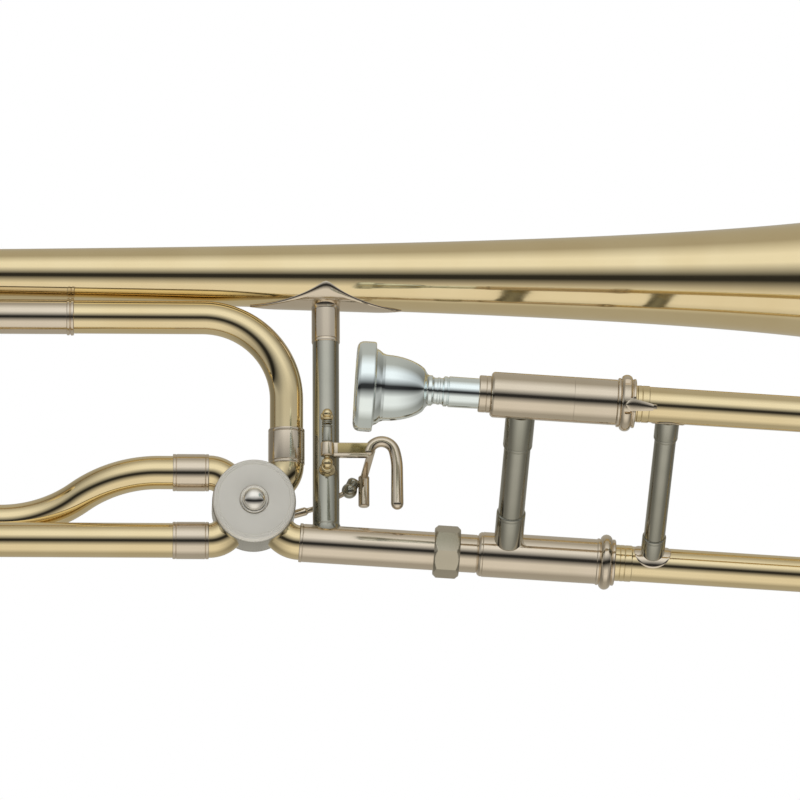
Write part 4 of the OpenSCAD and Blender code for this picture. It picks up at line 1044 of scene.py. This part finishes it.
def make_lever():
    body = "lever"
    lever = Shape()
    upright = move(HINGE.x, HINGE.y) @ turn(-90, "Y")
    barrel = [(44.2, 1.15), (44.2, 2.3), (44.6, 2.5), (50.6, 2.5), (50.8, 2.25), (51.1, 2.25), (51.3, 2.5),
              (51.7, 2.5), (52.0, 2.2), (52.0, 1.15)]
    turned("lever_barrel", upright, barrel, DULL, body, sides=48, radius=0.12)
    boss = [(37.8, 1.15), (37.8, 2.8), (38.2, 3.1), (43.6, 3.1), (44.0, 2.8), (44.0, 1.15)]
    lathe(lever, upright, boss, 48, 0.15)
    bar_y = HINGE.y + 1
    end = 18.9
    block(lever, ROW, (HINGE.x + 2.2, bar_y, 39.3), (end, bar_y + 2.4, 44.5), 0.45)
    block(lever, ROW, (HINGE.x + 2.6, bar_y - 1.2, 37.8), (end, bar_y + 2.4, 39.2), 0.4)
    # Flat arm that runs back from the bar's end to the post behind
    start = Vector((end + 1.2, -7.5, 41.2))
    way = Vector((FOOT.x, FOOT.y - 1.5, 35.0)) - start
    slanted = basis(start, way, way.cross(Vector((1, 0, 0))))
    block(lever, slanted, (-1, -1.6, -0.8), (way.length, 1.6, 0.8), 0.4)
    foot = [(21.6, 0.0), (21.6, 1.9), (22.2, 2.5), (35.4, 2.5), (36.0, 1.9), (36.0, 0.0)]
    lathe(lever, move(FOOT.x, FOOT.y) @ turn(-90, "Y"), foot, 40, 0.3)
    part("lever_arm", lever, NICKEL, body)
    panel = Shape()
    block(panel, ROW, (HINGE.x + 4.6, bar_y - 0.25, 39.7), (end + 0.1, bar_y + 0.3, 44.1), 0.12)
    piece("lever_bar_face", panel, DARK_BRASS, body)

    hook = Shape()
    thick, thin = 2.8, 2.4
    start = move(31.4, -8, 16.8) @ turn(-90, "Y")
    rise = Route(start).straight(16).bend(30, 16, 0, 8).bend(5.9, 152, 0, 36)
    tube(hook, rise, thick, 0, 48, thin)
    ball(hook, start, thick - 0.02, 48)
    ball(hook, rise.stations[-1], thin - 0.02, 48)
    part("thumb_hook", hook, NICKEL, body, sharp=50)


def make_linkage():
    crank = -30
    arm = Shape()
    plane = ROTOR @ turn(-crank, "Y")
    depth = (12.6, 14.4)
    along = plane @ turn(90, "Z")
    lathe(arm, along, pipe_outline(*depth, 4.5, 3.0), 48, 0.3)
    block(arm, plane, (3.6, depth[0], -2), (7, depth[1], 2), 0.35)
    block(arm, plane, (-12, depth[0], -2), (-3.6, depth[1], 2), 0.35)
    pin_at = plane @ move(x=7) @ turn(90, "Z")
    low, high = depth
    pin = [(low, 0.0), (low, 2.7), (high, 2.7), (high, 1.5), (17.6, 1.5), (17.9, 1.2), (17.9, 0.0)]
    lathe(arm, pin_at, pin, 40, 0.15)
    top = high + 0.25
    washer = [(high - 0.2, 0.0), (high - 0.2, 2.9)]
    washer += near(top, 0, (0, 2.9), (0, 2.3), (-0.15, 2.2), (-0.15, 0.0))
    lathe(arm, along, washer, 40, 0.06)
    part("stop_arm", arm, NICKEL, "rotor")

    rotor = frame["nodes"]["rotor"]
    rotor.data.materials.clear()
    rotor.data.materials.append(BRASS)

    pivot = joint_point("link_pivot")
    way = LINK_END - pivot
    side = Vector((0, 1, 0))
    link = Shape()
    eye = basis(pivot, rotor_axis, (1, 0, 0))
    lathe(link, eye, pipe_outline(-1.2, 1.4, 3.3, 1.56), 40, 0.3)
    # The rod leaves the crank nearly level and then rises to the ball joint
    knee = pivot + way * 0.56 - Vector((0, 0, 2.2))
    reach = knee - pivot
    neck = [(2.9, 0.0), (2.9, 1.4), (12.0, 1.4), (12.6, 1.9), (18.2, 1.9), (18.7, 1.5), (19.2, 1.2)]
    neck += [(reach.length, 1.2), (reach.length, 0.0)]
    lathe(link, basis(pivot, reach, reach.cross(side)), neck, 32, 0.2)
    ball(link, move(*knee), 1.2)
    rod_between(link, knee, LINK_END, 1.2)
    joint = Shape()
    ball(joint, move(*LINK_END), 3.5)
    nose = move(*LINK_END) @ turn(26, "Y") @ turn(-90, "Y")
    lathe(joint, nose, [(0.0, 0.0), (0.0, 2.8), (4.6, 2.8), (5.8, 2.0), (5.8, 0.0)], 32, 0.4)
    piece("link_ball_joint", joint, DULL, "link")
    part("link_rod", link, NICKEL, "link")


# ---------- stage ----------

# The studio round the X axis, in degrees up from the side the viewer stands on: dim walls behind and
# overhead, a low and a high panel in front, and a dark gap between the panels
WALLS = (0.45, 0.43, 0.38)
LOW_PANEL = (0.85, 0.82, 0.76)
HIGH_PANEL = (0.95, 0.96, 0.95)
GAP = (0.03, 0.03, 0.03)
STUDIO = [
    (-180, WALLS), (-110, WALLS), (-80, LOW_PANEL), (-50, LOW_PANEL), (-20, GAP),
    (-10, GAP), (20, HIGH_PANEL), (40, HIGH_PANEL), (75, WALLS), (180, WALLS),
]


def make_world():
    """Soft studio: long pale panels along the row's X axis, dimmer towards the ends of that axis."""
    world = bpy.data.worlds.new("studio")
    bpy.context.scene.world = world
    world.use_nodes = True
    nodes, links = world.node_tree.nodes, world.node_tree.links
    background = nodes["Background"]
    coords = nodes.new("ShaderNodeTexCoord")
    split = nodes.new("ShaderNodeSeparateXYZ")
    links.new(coords.outputs["Generated"], split.inputs["Vector"])

    def maths(operation, *values):
        node = nodes.new("ShaderNodeMath")
        node.operation = operation
        for socket, value in zip(node.inputs, values):
            if isinstance(value, bpy.types.NodeSocket):
                links.new(value, socket)
            else:
                socket.default_value = value
        return node.outputs["Value"]

    # Angle about the X axis: 0 faces the viewer, 90 is overhead
    around = maths("ARCTAN2", split.outputs["Z"], maths("MULTIPLY", split.outputs["Y"], -1))
    share = maths("ADD", maths("DIVIDE", around, 2 * pi), 0.5)
    colour = ramp(nodes, links, share, [((degrees + 180) / 360, shade) for degrees, shade in STUDIO])
    ends = nodes.new("ShaderNodeMapRange")
    ends.interpolation_type = "SMOOTHSTEP"
    set_inputs(ends, {"From Min": 0.15, "From Max": 0.95, "To Min": 1, "To Max": 0.48})
    links.new(maths("ABSOLUTE", split.outputs["X"]), ends.inputs["Value"])
    path = nodes.new("ShaderNodeLightPath")
    seen = nodes.new("ShaderNodeMix")
    seen.data_type = "RGBA"
    links.new(path.outputs["Is Camera Ray"], seen.inputs["Factor"])
    # A mix in colour mode takes its two colours at inputs 6 and 7 and gives one at output 2
    links.new(colour, seen.inputs[6])
    seen.inputs[7].default_value = (1, 1, 1, 1)
    links.new(seen.outputs[2], background.inputs["Color"])
    clear = maths("MAXIMUM", ends.outputs["Result"], path.outputs["Is Camera Ray"])
    links.new(clear, background.inputs["Strength"])


def make_floor():
    material, nodes, links, shader = new_material("pale_floor")
    grain = noise_on(nodes, links, 3, 2)
    tint = ramp(nodes, links, grain, [(0.3, (0.88, 0.88, 0.88)), (0.7, (0.92, 0.92, 0.92))])
    links.new(tint, shader.inputs["Base Color"])
    glow = {"Emission Color": (1.0, 0.99, 0.97, 1), "Emission Strength": 0.5}
    set_inputs(shader, {"Roughness": 0.9, **glow})
    height, radius = -4.5, 11.0
    mesh = bpy.data.meshes.new("floor")
    angles = [2 * pi * i / 64 for i in range(64)]
    corners = [(radius * cos(a), radius * sin(a), height) for a in angles]
    mesh.from_pydata(corners, [], [list(range(64))])
    mesh.materials.append(material)
    floor = bpy.data.objects.new("floor", mesh)
    bpy.context.collection.objects.link(floor)
    floor.visible_glossy = False


def make_camera():
    """The photograph looks along +Y from a little below, with a long lens."""
    target = Vector((33.2, 0.0, 67.0)) * MM
    distance, below, aside, roll = 2.9, 16.1, -2.3, -0.33
    data = bpy.data.cameras.new("camera")
    data.sensor_width = 36
    data.lens = 291.5
    data.clip_end = 50
    camera = bpy.data.objects.new("camera", data)
    bpy.context.collection.objects.link(camera)
    look = turn(aside, "Z") @ turn(90 + below, "X") @ turn(roll, "Z")
    camera.matrix_world = Matrix.Translation(target) @ look @ Matrix.Translation((0, 0, distance))
    bpy.context.scene.camera = camera


make_bell()
make_bell_brace()
make_neckpipe()
make_valve()
f_legs = make_wrap()
make_main_tuning_slide()
make_f_tuning_slide(*f_legs)
make_receiver_nut()
make_inner_slide()
make_lock_ring()
make_outer_slide()
make_water_key()
make_mouthpiece()
make_hinge_posts()
make_lever()
make_linkage()
make_world()
make_floor()
make_camera()
bpy.context.scene.view_settings.view_transform = "Standard"
